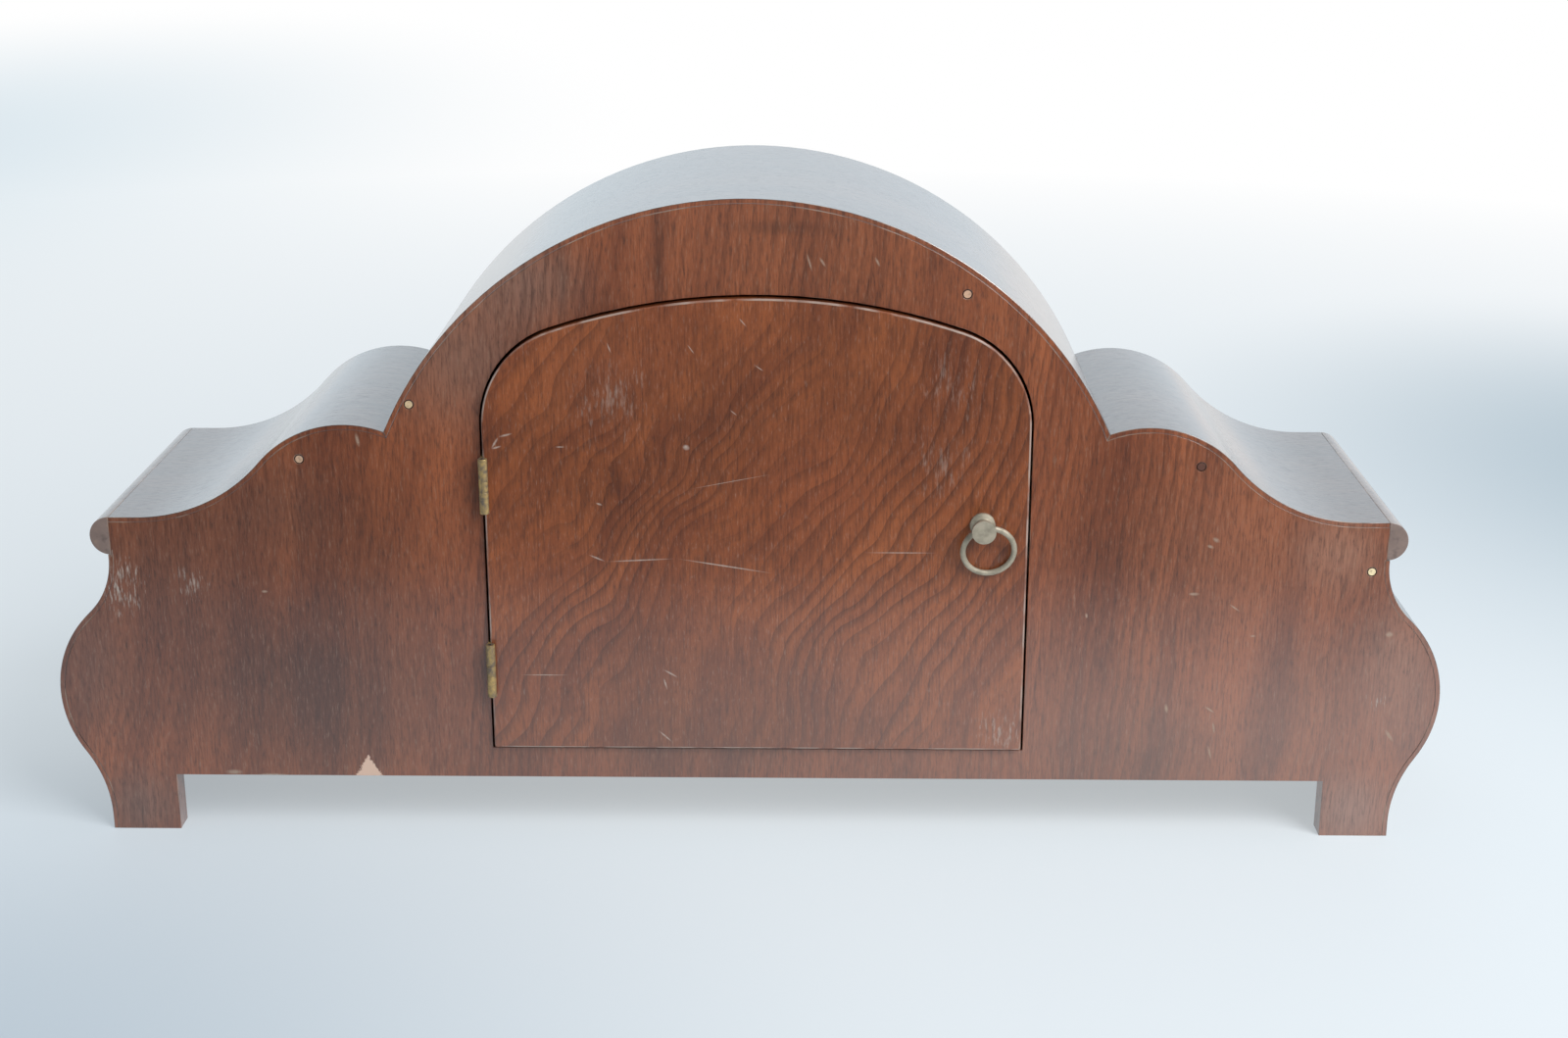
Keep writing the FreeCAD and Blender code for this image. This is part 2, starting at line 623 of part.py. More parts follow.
def build_latch():
    """A turned knob with its spindle, the tongue and nut inside, and a ring through the knob's neck."""
    inside = "(panel_thick + door_proud + keep_thick + barrel_clear + tongue_thick + nut_thick)"
    profile = [
        ("0", f"-{inside}"),
        ("spindle_radius", f"-{inside}"),
        ("spindle_radius", "fit_play"),
        ("rose_radius", "fit_play"),
        ("rose_radius", "rose_thick"),
        ("neck_size", "rose_thick + neck_slope"),
        ("neck_size", "head_reach - head_thick - neck_slope"),
        ("head_radius", "head_reach - head_thick"),
        ("head_radius", "head_reach"),
        ("0", "head_reach"),
    ]
    knob = turned(profile, LATCH_X, DOOR_FACE, "latch_height", "knob")
    tilt = Rotation(Vector(0, 1, 0), size("ring_tilt"))
    across = tilt.multVec(Vector(1, 0, 0))
    hole_middle = Vector(value_of(LATCH_X), value_of(f"{DOOR_FACE} + ring_height"), size("latch_height"))
    hole = doc.addObject("Part::Cylinder", "ring_hole_bar")
    bind(hole, "Radius", "ring_hole")
    bind(hole, "Height", "4 * head_radius")
    hole_turn = Rotation(Vector(0, 0, 1), across)
    hole.Placement = Placement(hole_middle - across * (2 * size("head_radius")), hole_turn)
    node("latch_knob", cut(knob, hole))

    plate = block(
        f"{LATCH_X} - tongue_wide / 2", TONGUE_Y, "latch_height - tongue_long",
        "tongue_wide", "tongue_thick", "tongue_long + tongue_past",
    )
    bore = rod(LATCH_X, TONGUE_Y, "latch_height", "spindle_radius + fit_play", "tongue_thick")
    node("latch_tongue", cut(plate, bore))
    nut_y = f"{TONGUE_Y} - nut_thick"
    nut_bore = rod(LATCH_X, nut_y, "latch_height", "spindle_radius + fit_play", "nut_thick")
    node("latch_nut", cut(nut(LATCH_X, nut_y, "latch_height", "nut_radius", "nut_thick"), nut_bore))

    lean = Rotation(across, -size("ring_lean"))
    down = lean.multVec(tilt.multVec(Vector(0, 0, -1)))
    ring = doc.addObject("Part::Torus", "ring")
    bind(ring, "Radius1", "ring_mean")
    bind(ring, "Radius2", "ring_wire")
    ring_turn = Rotation(across, down, across.cross(down), "XYZ")
    ring.Placement = Placement(hole_middle + down * size("ring_mean"), ring_turn)
    node("ring_pull", ring)


BEZEL_HINGE_X = "bezel_outer + bezel_knuckle + bezel_hinge_room"
BEZEL_HINGE_Y = "-case_depth / 2 - bezel_knuckle - barrel_clear"
GLASS_SEAT = "bezel_reach - bezel_wall"


def build_bezel(pins):
    """The brass ring round the glass, hinged at its +X side on a bracket; its pin joins the others."""
    glass_edge = "bezel_inner + glass_lap"
    profile = [
        (f"{glass_edge} + fit_play", f"-({GLASS_SEAT})"),
        ("bezel_inner", f"-({GLASS_SEAT})"),
        ("bezel_inner", "-bezel_reach"),
        ("(bezel_inner + bezel_outer) / 2", "-bezel_reach"),
        ("bezel_outer", "-bezel_reach / 3"),
        ("bezel_outer", "-barrel_clear"),
        ("dial_radius + bezel_room", "-barrel_clear"),
        ("dial_radius + bezel_room", "-dial_thick - barrel_clear"),
        (f"{glass_edge} + fit_play", "-dial_thick - barrel_clear"),
    ]
    ring = turned(profile, "0", FRONT, "dial_height", "bezel")
    middle_z = "dial_height - knuckle_end / 2"
    knuckle = rod(BEZEL_HINGE_X, BEZEL_HINGE_Y, middle_z, "bezel_knuckle", "knuckle_end", "Z")
    arm = block(
        "bezel_outer - 2 * bezel_knuckle", f"{BEZEL_HINGE_Y} - bezel_knuckle / 2", middle_z,
        f"{BEZEL_HINGE_X} - bezel_outer + 2 * bezel_knuckle", "bezel_knuckle", "knuckle_end",
    )
    pin_long = "3 * knuckle_end + 2 * knuckle_play"
    pin_low = "dial_height - 1.5 * knuckle_end - knuckle_play"
    bore = rod(BEZEL_HINGE_X, BEZEL_HINGE_Y, pin_low, "hinge_pin_radius + fit_play", pin_long, "Z")
    node("bezel_ring", cut(join(ring, arm, knuckle), bore))

    ends = []
    web_deep = "bezel_knuckle + barrel_clear"
    for z in (pin_low, "dial_height + knuckle_end / 2 + knuckle_play"):
        ends.append(rod(BEZEL_HINGE_X, BEZEL_HINGE_Y, z, "bezel_knuckle", "knuckle_end", "Z"))
        ends.append(block(BEZEL_HINGE_X, BEZEL_HINGE_Y, z, "bezel_knuckle", web_deep, "knuckle_end"))
    foot_x_low = f"{BEZEL_HINGE_X} + bezel_knuckle - leaf_thick"
    foot = block(foot_x_low, "-case_depth / 2 - dial_thick", pin_low, "bezel_foot", "dial_thick", pin_long)
    bracket_bore = rod(BEZEL_HINGE_X, BEZEL_HINGE_Y, pin_low, "hinge_pin_radius + fit_play", pin_long, "Z")
    node("bezel_bracket", cut(join(foot, *ends), bracket_bore))
    pins.append(rod(BEZEL_HINGE_X, BEZEL_HINGE_Y, pin_low, "hinge_pin_radius", pin_long, "Z"))
    node("hinge_pins", group(*pins))

    rim = size("bezel_inner") - size("bezel_wall")
    edge = size("bezel_inner") + size("glass_lap")
    front = -value_of(GLASS_SEAT)
    back = front + size("glass_thick")
    rise = size("glass_rise")
    bow = (rim ** 2 + rise ** 2) / (2 * rise)
    half_sag = bow - math.sqrt(bow ** 2 - rim ** 2 / 4)

    def bowed(y):
        """The bow of one side, from the rim to the middle."""
        half_way = Vector(rim / 2, y - rise + half_sag, 0)
        return Part.Arc(Vector(rim, y, 0), half_way, Vector(0, y - rise, 0)).toShape()

    glass_edges = [
        bowed(front),
        line(Vector(0, front - rise, 0), Vector(0, back - rise, 0)),
        bowed(back),
        line(Vector(rim, back, 0), Vector(edge, back, 0)),
        line(Vector(edge, back, 0), Vector(edge, front, 0)),
        line(Vector(edge, front, 0), Vector(rim, front, 0)),
    ]
    glass = solid(sheet_of(glass_edges).revolve(Vector(), Vector(0, 1, 0), 360), "glass")
    place(glass, "0", FRONT, "dial_height")
    node("bezel_glass", glass)


DIAL_FRONT = "-case_depth / 2 - dial_thick"
HOUR_Y = f"{DIAL_FRONT} - hand_clear - hand_thick"
MINUTE_Y = f"{HOUR_Y} - hand_gap - hand_thick"


def build_dial():
    """A thin metal dial on the front board, with its middle hole and two winding holes."""
    disc = rod("0", DIAL_FRONT, "dial_height", "dial_radius", "dial_thick")
    holes = [rod("0", DIAL_FRONT, "dial_height", "dial_hole", "dial_thick")]
    for x in ("-barrel_across", "barrel_across"):
        holes.append(rod(x, DIAL_FRONT, "dial_height - barrel_below", "key_hole", "dial_thick"))
    node("dial", cut(disc, *holes))


# Half of a hand's outline up to its point, as (half width, place along), shares of its length.
HAND_FORM = ((0.03, 0.0), (0.024, 0.62), (0.09, 0.74))
# A hand's boss over its bore, and the two hands' places at ten past ten, in degrees from twelve.
HAND_BOSS = 2.4
HOUR_TURN = 305
MINUTE_TURN = 60


def hand(length, y, bore, degrees):
    """A spade-pointed hand with a round boss; degrees clockwise from twelve."""
    reach_out = size(length)
    half = [at(wide * reach_out, along * reach_out) for wide, along in HAND_FORM]
    corners = half + [at(0, reach_out)] + [other(point) for point in reversed(half)]
    blade = ring_of(corners).extrude(Vector(0, size("hand_thick"), 0))
    disc = bar(HAND_BOSS * value_of(bore), 0, size("hand_thick"))
    hole = bar(value_of(bore), 0, size("hand_thick"))
    piece = solid(blade.fuse(disc).cut(hole).removeSplitter(), "hand")
    place(piece, "0", y, "dial_height", Rotation(Vector(0, 1, 0), degrees))
    return piece


# Tooth counts of the going train from its barrel, of the dial wheels, and of the strike train's own.
GREAT_TEETH = 64
SECOND_TEETH = 60
CENTRE_TEETH = 80
THIRD_TEETH = 96
ESCAPE_TEETH = 42
LEAVES = 8
CENTRE_LEAVES = 12
CANNON_TEETH = 15
MINUTE_TEETH = 45
MINUTE_LEAVES = 12
HOUR_TEETH = 48
WARNING_TEETH = 54
RATCHET_TEETH = 20

PLATE_FRONT = "panel_thick - case_depth / 2"
MOVEMENT = f"{PLATE_FRONT} + plate_thick"
BEHIND = "plate_gap + plate_thick"


def apart(module, wheel, pinion):
    """Distance between two meshing wheels."""
    return size(module) * (wheel + pinion) / 2


def upward(start, across, length):
    """The point at a length from start, a step across and the rest up."""
    return start + at(across, math.sqrt(length ** 2 - across ** 2))


# Arbors, from the dial's centre.
centre_at = at(0, 0)
time_barrel_at = at(-size("barrel_across"), -size("barrel_below"))
strike_barrel_at = at(size("barrel_across"), -size("barrel_below"))
great_apart = apart("great_module", GREAT_TEETH, LEAVES)
centre_apart = apart("second_module", SECOND_TEETH, CENTRE_LEAVES)
second_at = crossing(time_barrel_at, great_apart, centre_at, centre_apart)
third_at = upward(centre_at, size("third_across"), apart("centre_module", CENTRE_TEETH, LEAVES))
escape_at = upward(third_at, -size("third_across"), apart("third_module", THIRD_TEETH, LEAVES))
anchor_at = escape_at + at(0, size("anchor_rise"))
pin_at = upward(strike_barrel_at, size("strike_lean"), great_apart)
warning_at = upward(pin_at, 0, apart("second_module", SECOND_TEETH, LEAVES))
fly_at = upward(warning_at, -size("strike_lean"), apart("warning_module", WARNING_TEETH, LEAVES))
hammer_at = at(size("hammer_across"), -size("hammer_below"))
minute_at = at(0, apart("motion_module", CANNON_TEETH, MINUTE_TEETH))
plate_top = anchor_at.z + size("plate_top_room")
plate_bottom = hammer_at.z - size("plate_low_room")
pillar_places = [
    (side * (size("plate_wide") / 2 - size("pillar_inset")), z)
    for side in (1, -1)
    for z in (plate_top - size("pillar_inset"), plate_bottom + size("pillar_inset"))
]


def bearing(start, other_end):
    """The direction from one arbor to another, in the boards' plane."""
    return math.atan2(other_end.z - start.z, other_end.x - start.x)


def ring_of(points):
    return Part.Face(Part.makePolygon(points + points[:1]))


def polar(radius, turn):
    return at(radius * math.cos(turn), radius * math.sin(turn))


# Tooth forms, as (radius from the pitch line in modules, half width as a share of the pitch).
WHEEL_TOOTH = ((-1.0, 0.21), (0.0, 0.17), (0.9, 0.06))
PINION_LEAF = ((-1.35, 0.13), (0.0, 0.14), (0.5, 0.07))


def toothed(teeth, module, form, start, y, thick):
    """A toothed disc with one tooth's middle at the start angle."""
    pitch = size(module) * teeth / 2
    step = 2 * math.pi / teeth
    points = []
    for i in range(teeth):
        for sign, flank in ((-1, form), (1, form[::-1])):
            for rise, half in flank:
                points.append(polar(pitch + rise * size(module), start + (i + sign * half) * step))
    shape = ring_of(points).extrude(Vector(0, thick, 0))
    return shape.translated(Vector(0, y, 0))


# How far a hooked tooth's tip leans, as a share of the pitch.
ESCAPE_LEAN = 0.3
RATCHET_LEAN = 0.1


def saw_toothed(teeth, radius, depth, lean, y):
    """A disc with hooked teeth, for the escape wheel and the ratchets."""
    thick = size("wheel_thick")
    step = 2 * math.pi / teeth
    points = []
    for i in range(teeth):
        points.append(polar(radius - depth, i * step))
        points.append(polar(radius, (i + lean) * step))
    return ring_of(points).extrude(Vector(0, thick, 0)).translated(Vector(0, y, 0))


def bar(radius, start, end):
    """A plain arbor length along Y."""
    return Part.makeCylinder(radius, end - start, Vector(0, start, 0), Vector(0, 1, 0))


def on_arbor(label, place_at, shapes, bore=None):
    """One wheel with its arbor and pinion; Y is taken from the front plate's inner side."""
    shape = shapes[0].multiFuse(shapes[1:]) if len(shapes) > 1 else shapes[0]
    if bore is not None:
        shape = shape.cut(bore)
    piece = solid(shape, label)
    place(piece, f"{place_at.x}", MOVEMENT, f"dial_height + {place_at.z}")
    return node(label, piece)


def leaf_root(module, leaves):
    """How thick an arbor can be under its pinion's leaves."""
    return size(module) * (leaves / 2 + PINION_LEAF[0][0])


def arbor_bars(module=None):
    """An arbor between the plates with a pivot at each end, slim enough for its pinion."""
    gap = size("plate_gap")
    shake = size("fit_play")
    thick = size("plate_thick")
    radius = size("arbor_radius")
    if module is not None:
        radius = min(radius, leaf_root(module, LEAVES))
    return [bar(size("pivot_radius"), -thick, gap + thick), bar(radius, shake, gap - shake)]


# Where along the plate gap each wheel stands, and how long the fly's vane is, as shares of the gap.
GREAT_LEVEL = 0.08
THIRD_LEVEL = 0.3
FLY_LEVEL = 0.38
CENTRE_LEVEL = 0.55
WARNING_LEVEL = 0.65
ESCAPE_LEVEL = 0.7
SECOND_LEVEL = 0.85
FLY_LONG = 0.18


def wheel_level(share):
    """A place along the plate gap."""
    return size("plate_gap") * share


def wheel(teeth, module, level, start):
    return toothed(teeth, module, WHEEL_TOOTH, start, wheel_level(level), size("wheel_thick"))


def pinion(leaves, module, level, start):
    """A pinion centred on its wheel's level, turned so that a wheel's tooth finds a gap."""
    middle = wheel_level(level) + size("wheel_thick") / 2
    gap_start = start + math.pi + math.pi / leaves
    long = size("pinion_long")
    return toothed(leaves, module, PINION_LEAF, gap_start, middle - long / 2, long)


# The click's stud and nose, out from the winding arbor, as shares of its height over the arbor.
CLICK_STUD = 1.1
CLICK_NOSE = 0.3


def build_barrel(side, place_at, driven_at):
    """A spring barrel: great wheel, drum, coiled spring inside, and the winding arbor with its ratchet."""
    level = wheel_level(GREAT_LEVEL)
    drum_start = level + size("wheel_thick")
    drum_end = drum_start + size("barrel_long")
    inside = size("barrel_radius") - size("barrel_wall")
    hub = size("winder_radius") + size("fit_play")
    great = wheel(GREAT_TEETH, "great_module", GREAT_LEVEL, bearing(place_at, driven_at))
    drum = bar(size("barrel_radius"), drum_start, drum_end)
    drum = drum.cut(bar(inside, drum_start, drum_end))
    on_arbor(side + "_barrel", place_at, [great, drum], bar(hub, level, drum_end))
    spring = bar(inside - size("spring_room"), drum_start, drum_end - size("spring_room"))
    spring_bore = bar(2 * size("winder_radius"), drum_start, drum_end)
    on_arbor(side + "_mainspring", place_at, [spring], spring_bore)

    ratchet_end = -size("plate_thick") - size("hand_thick")
    ratchet_start = ratchet_end - size("wheel_thick")
    square_end = -value_of("plate_thick + panel_thick") + size("dial_thick")
    half = size("key_half")
    square_corner = Vector(-half, square_end, -half)
    depth = size("ratchet_depth")
    on_arbor(side + "_winding_arbor", place_at, [
        bar(size("winder_radius"), ratchet_start, size("plate_gap") - size("fit_play")),
        bar(size("winder_pivot"), 0, value_of(BEHIND)),
        saw_toothed(RATCHET_TEETH, size("ratchet_radius"), depth, RATCHET_LEAN, ratchet_start),
        Part.makeBox(2 * half, ratchet_start - square_end, 2 * half, square_corner),
    ])
    sign = math.copysign(1, place_at.x)
    thick = size("wheel_thick")
    tip = size("ratchet_radius") + size("click_clear")
    stud = at(sign * CLICK_STUD * tip, tip + size("arbor_radius"))
    nose = at(sign * CLICK_NOSE * tip, tip)
    arm = ring_of([
        stud + at(0, -size("arbor_radius")),
        nose,
        nose + at(0, size("click_nose")),
        stud + at(0, size("arbor_radius")),
    ])
    arm = arm.extrude(Vector(0, thick, 0)).translated(Vector(0, ratchet_start, 0))
    head = bar(size("click_head"), ratchet_start, ratchet_start + thick).translated(stud)
    pin = bar(size("pivot_radius"), ratchet_start, 0).translated(stud)
    on_arbor(side + "_click", place_at, [arm, head, pin])
    return place_at + stud


click_places = []

# The strike train's lifting pins: how many, and their circle as a share of the wheel's.
LIFT_PINS = 8
LIFT_RING = 0.75


def build_trains():
    """The going train, the dial wheels and the strike train, each wheel on its own arbor."""
    click_places.append(build_barrel("time", time_barrel_at, second_at))
    click_places.append(build_barrel("strike", strike_barrel_at, pin_at))
    on_arbor("second_wheel", second_at, arbor_bars("great_module") + [
        pinion(LEAVES, "great_module", GREAT_LEVEL, bearing(time_barrel_at, second_at)),
        wheel(SECOND_TEETH, "second_module", SECOND_LEVEL, bearing(second_at, centre_at)),
    ])
    on_arbor("third_wheel", third_at, arbor_bars("centre_module") + [
        pinion(LEAVES, "centre_module", CENTRE_LEVEL, bearing(centre_at, third_at)),
        wheel(THIRD_TEETH, "third_module", THIRD_LEVEL, bearing(third_at, escape_at)),
    ])
    escape_level = wheel_level(ESCAPE_LEVEL)
    on_arbor("escape_wheel", escape_at, arbor_bars("third_module") + [
        pinion(LEAVES, "third_module", THIRD_LEVEL, bearing(third_at, escape_at)),
        saw_toothed(ESCAPE_TEETH, size("escape_radius"), size("escape_depth"), ESCAPE_LEAN, escape_level),
    ])

    hand_end = value_of(f"{MINUTE_Y} + hand_thick - ({MOVEMENT})")
    stud_end = hand_end - size("hand_thick") - size("hand_nut_thick")
    cannon_end = -size("plate_thick") - size("hand_thick")
    cannon_long = size("cannon_long")
    cannon_y = cannon_end - cannon_long
    cannon_start = bearing(centre_at, minute_at) + math.pi / CANNON_TEETH
    on_arbor("centre_arbor", centre_at, [
        bar(size("pivot_radius"), 0, value_of(BEHIND)),
        bar(size("arbor_radius"), stud_end, size("plate_gap") - size("fit_play")),
        bar(size("cannon_radius"), hand_end, size("fit_play")),
        toothed(CANNON_TEETH, "motion_module", PINION_LEAF, cannon_start, cannon_y, cannon_long),
        pinion(CENTRE_LEAVES, "second_module", SECOND_LEVEL, bearing(second_at, centre_at)),
        wheel(CENTRE_TEETH, "centre_module", CENTRE_LEVEL, bearing(centre_at, third_at)),
    ])
    minute_level = cannon_end - size("wheel_thick")
    hour_level = minute_level - size("dial_wheel_step")
    to_centre = bearing(minute_at, centre_at)
    pinion_start = to_centre + math.pi / MINUTE_LEAVES
    on_arbor("minute_wheel", minute_at, [
        toothed(MINUTE_TEETH, "motion_module", WHEEL_TOOTH, to_centre, minute_level, size("wheel_thick")),
        toothed(
            MINUTE_LEAVES, "motion_module", PINION_LEAF, pinion_start,
            hour_level - size("fit_play"), minute_level - hour_level + 2 * size("fit_play"),
        ),
    ], bar(size("arbor_radius") + size("fit_play"), hour_level - size("pinion_long"), cannon_end))
    pipe_bore = size("cannon_radius") + size("fit_play")
    pipe_end = value_of(f"{HOUR_Y} - ({MOVEMENT})")
    to_minute = bearing(centre_at, minute_at)
    on_arbor("hour_wheel", centre_at, [
        toothed(HOUR_TEETH, "motion_module", WHEEL_TOOTH, to_minute, hour_level, size("wheel_thick")),
        bar(size("cannon_radius") + size("pipe_wall"), pipe_end, hour_level + size("wheel_thick")),
    ], bar(pipe_bore, pipe_end, hour_level + size("wheel_thick")))
    node("hour_hand", hand("hour_length", HOUR_Y, "cannon_radius + pipe_wall + fit_play", HOUR_TURN))
    node("minute_hand", hand("minute_length", MINUTE_Y, "arbor_radius + fit_play", MINUTE_TURN))
    nut_y = f"{MINUTE_Y} - hand_nut_thick"
    hand_bore = rod("0", nut_y, "dial_height", "arbor_radius + fit_play", "hand_nut_thick")
    node("hand_nut", cut(nut("0", nut_y, "dial_height", "2 * arbor_radius", "hand_nut_thick"), hand_bore))

    pin_start = wheel_level(SECOND_LEVEL) + size("wheel_thick") / 2
    pin_end = wheel_level(SECOND_LEVEL) + size("wheel_thick") + size("lift_pin_long")
    pin_ring = LIFT_RING * size("second_module") * SECOND_TEETH / 2
    lift_pin = bar(size("lift_pin_radius"), pin_start, pin_end)
    pin_turns = [2 * math.pi * i / LIFT_PINS for i in range(LIFT_PINS)]
    lift_pins = [lift_pin.translated(polar(pin_ring, turn)) for turn in pin_turns]
    on_arbor("pin_wheel", pin_at, arbor_bars("great_module") + lift_pins + [
        pinion(LEAVES, "great_module", GREAT_LEVEL, bearing(strike_barrel_at, pin_at)),
        wheel(SECOND_TEETH, "second_module", SECOND_LEVEL, bearing(pin_at, warning_at)),
    ])
    on_arbor("warning_wheel", warning_at, arbor_bars("second_module") + [
        pinion(LEAVES, "second_module", SECOND_LEVEL, bearing(pin_at, warning_at)),
        wheel(WARNING_TEETH, "warning_module", WARNING_LEVEL, bearing(warning_at, fly_at)),
    ])
    half = size("fly_half")
    thick = size("fly_thick")
    vane_corner = Vector(-half, wheel_level(FLY_LEVEL), -thick / 2)
    vane = Part.makeBox(2 * half, wheel_level(FLY_LONG), thick, vane_corner)
    on_arbor("fly", fly_at, arbor_bars("warning_module") + [
        pinion(LEAVES, "warning_module", WARNING_LEVEL, bearing(warning_at, fly_at)),
        vane,
    ])


def movement_screws(radius, head):
    """Four screws through the front plate's corners into the front board; a head of 0 gives the bores."""
    pieces = []
    for x, z in pillar_places:
        screw_z = z - math.copysign(size("screw_inset"), z)
        height = f"dial_height + {screw_z}"
        shank = rod(f"{x}", f"{FRONT_INSIDE} - screw_long", height, radius, "screw_long + plate_thick")
        if head != "0":
            shank = join(shank, rod(f"{x}", MOVEMENT, height, head, "screw_radius"))
        pieces.append(shank)
    return pieces


def plate_blank(y):
    return block(
        "-plate_wide / 2", y, f"dial_height + {plate_bottom}",
        "plate_wide", "plate_thick", f"{plate_top - plate_bottom}",
    )


def pierced(y, places):
    """Round holes in a plate, each given as (arbor place, radius)."""
    holes = []
    for spot, radius in places:
        holes.append(rod(f"{spot.x}", y, f"dial_height + {spot.z}", radius, "plate_thick"))
    return holes


def build_frame():
    """Two brass plates on four pillars, screwed to the front board, with the arbors' holes."""
    pivot_hole = "pivot_radius + fit_play"
    trains = (second_at, third_at, escape_at, pin_at, warning_at, fly_at)
    both = [(spot, pivot_hole) for spot in trains]
    pillar_spots = [(at(x, z), "pillar_stud + fit_play") for x, z in pillar_places]
    barrels = (time_barrel_at, strike_barrel_at)
    front_holes = both + pillar_spots + [(spot, "winder_radius + fit_play") for spot in barrels]
    front_holes += [(spot, pivot_hole) for spot in click_places + [anchor_at, hammer_at]]
    front_holes.append((centre_at, "cannon_radius + fit_play"))
    back_holes = both + pillar_spots + [(spot, "winder_pivot + fit_play") for spot in barrels]
    back_holes += [(spot, "arbor_radius + fit_play") for spot in (anchor_at, hammer_at)]
    back_holes.append((centre_at, pivot_hole))
    stud_long = "plate_thick + hand_thick + 3 * wheel_thick"
    stud_y = f"{PLATE_FRONT} + plate_thick - ({stud_long})"
    stud = rod(f"{minute_at.x}", stud_y, f"dial_height + {minute_at.z}", "arbor_radius", stud_long)
    bores = movement_screws("screw_radius + fit_play", "0")
    front = cut(plate_blank(PLATE_FRONT), *pierced(PLATE_FRONT, front_holes), *bores)
    node("front_plate", join(front, stud))
    back_y = f"{MOVEMENT} + plate_gap"
    node("back_plate", cut(plate_blank(back_y), *pierced(back_y, back_holes)))
    node("movement_screws", group(*movement_screws("screw_radius", "screw_head")))

    pillars = []
    nuts = []
    for x, z in pillar_places:
        height = f"dial_height + {z}"
        body = rod(f"{x}", MOVEMENT, height, "pillar_radius", "plate_gap")
        front_stud = rod(f"{x}", PLATE_FRONT, height, "pillar_stud", "plate_thick")
        back_stud = rod(f"{x}", back_y, height, "pillar_stud", "plate_thick + pillar_stud")
        pillars.append(join(body, front_stud, back_stud))
        nut_y = f"{back_y} + plate_thick"
        nut_bore = rod(f"{x}", nut_y, height, "pillar_stud + fit_play", "pillar_stud")
        nuts.append(cut(nut(f"{x}", nut_y, height, "plate_nut", "pillar_stud"), nut_bore))
    node("plate_pillars", group(*pillars))
    node("pillar_nuts", group(*nuts))


PLATE_BACK = f"{MOVEMENT} + plate_gap + plate_thick"
SWING_Y = f"{PLATE_BACK} + pendulum_back"

# Half of the anchor's outline, as shares of its height over the escape wheel.
ANCHOR_HALF = ((0.10, -0.12), (0.62, -0.50), (0.70, -0.39), (0.21, 0.17))
# Half of the bob's section, as shares of its radius and of its thickness.
BOB_HALF = ((0.5, 0.42), (0.85, 0.23), (1.0, 0.08))


def build_pendulum():
    """Anchor and crutch, the cock on the back plate, and the pendulum on its flat spring."""
    scale = size("anchor_rise")
    points = [at(x * scale, z * scale) for x, z in ANCHOR_HALF]
    outline_points = points + [other(point) for point in reversed(points)]
    plate = ring_of(outline_points).extrude(Vector(0, size("wheel_thick"), 0))
    plate = plate.translated(Vector(0, wheel_level(ESCAPE_LEVEL), 0))
    behind = value_of(BEHIND)
    swing = behind + size("pendulum_back")
    crutch_start = behind + size("fork_room")
    crutch_end = crutch_start + size("wheel_thick")
    arm_half = size("arbor_radius")
    drop = size("crutch_long")
    fork_in = size("rod_radius") + size("barrel_clear")
    prong = size("wheel_thick")
    pieces = arbor_bars() + [plate, bar(size("arbor_radius"), size("plate_gap") / 2, crutch_end)]
    pieces.append(Part.makeBox(2 * arm_half, prong, drop, Vector(-arm_half, crutch_start, -drop)))
    width = 2 * (fork_in + prong)
    pieces.append(Part.makeBox(width, prong, prong, Vector(-width / 2, crutch_start, -drop)))
    for x in (fork_in, -fork_in - prong):
        deep = swing + size("rod_radius") + prong - crutch_start
        pieces.append(Part.makeBox(prong, deep, prong, Vector(x, crutch_start, -drop)))
    on_arbor("anchor", anchor_at, pieces)

    hang = f"dial_height + {anchor_at.z}"
    cock_z = f"{hang} + spring_half"
    cock_deep = "pendulum_back + spring_wide"
    cock = block("-spring_wide", PLATE_BACK, cock_z, "2 * spring_wide", cock_deep, "spring_wide")
    node("suspension_cock", cock)
    node("suspension_spring", block(
        "-leaf_thick / 2", f"{SWING_Y} - spring_wide / 2", f"{hang} - spring_half",
        "leaf_thick", "spring_wide", "2 * spring_half - barrel_clear",
    ))
    bob_z = f"{hang} - pendulum_length"
    nut_z = f"{bob_z} - bob_radius - barrel_clear - rating_thick"
    rod_z = f"{nut_z} - rating_thick"
    node("pendulum_rod", rod("0", SWING_Y, rod_z, "rod_radius", f"{hang} - spring_half - ({rod_z})", "Z"))
    front_half = [(f"bob_radius * {out}", f"-bob_thick * {deep}") for out, deep in BOB_HALF]
    back_half = [(f"bob_radius * {out}", f"bob_thick * {deep}") for out, deep in reversed(BOB_HALF)]
    lens = [("0", "-bob_thick / 2")] + front_half + back_half + [("0", "bob_thick / 2")]
    bob = turned(lens, "0", SWING_Y, bob_z, "bob")
    bob_bore = rod("0", SWING_Y, f"{bob_z} - bob_radius", "rod_radius + fit_play", "2 * bob_radius", "Z")
    node("pendulum_bob", cut(bob, bob_bore))
    rating = rod("0", SWING_Y, nut_z, "rating_radius", "rating_thick", "Z")
    rating_bore = rod("0", SWING_Y, nut_z, "rod_radius + fit_play", "rating_thick", "Z")
    node("rating_nut", cut(rating, rating_bore))


GONG_TOP = "foot_height + base_thick"
GONG_Y = f"{PLATE_BACK} - gong_front"


def gong_bolt(sign, radius):
    """A bolt up through the floor board into the gong block."""
    x = f"-gong_place + {sign} * gong_foot / 4"
    return rod(x, GONG_Y, "foot_height", radius, "base_thick + gong_rise / 2", "Z")


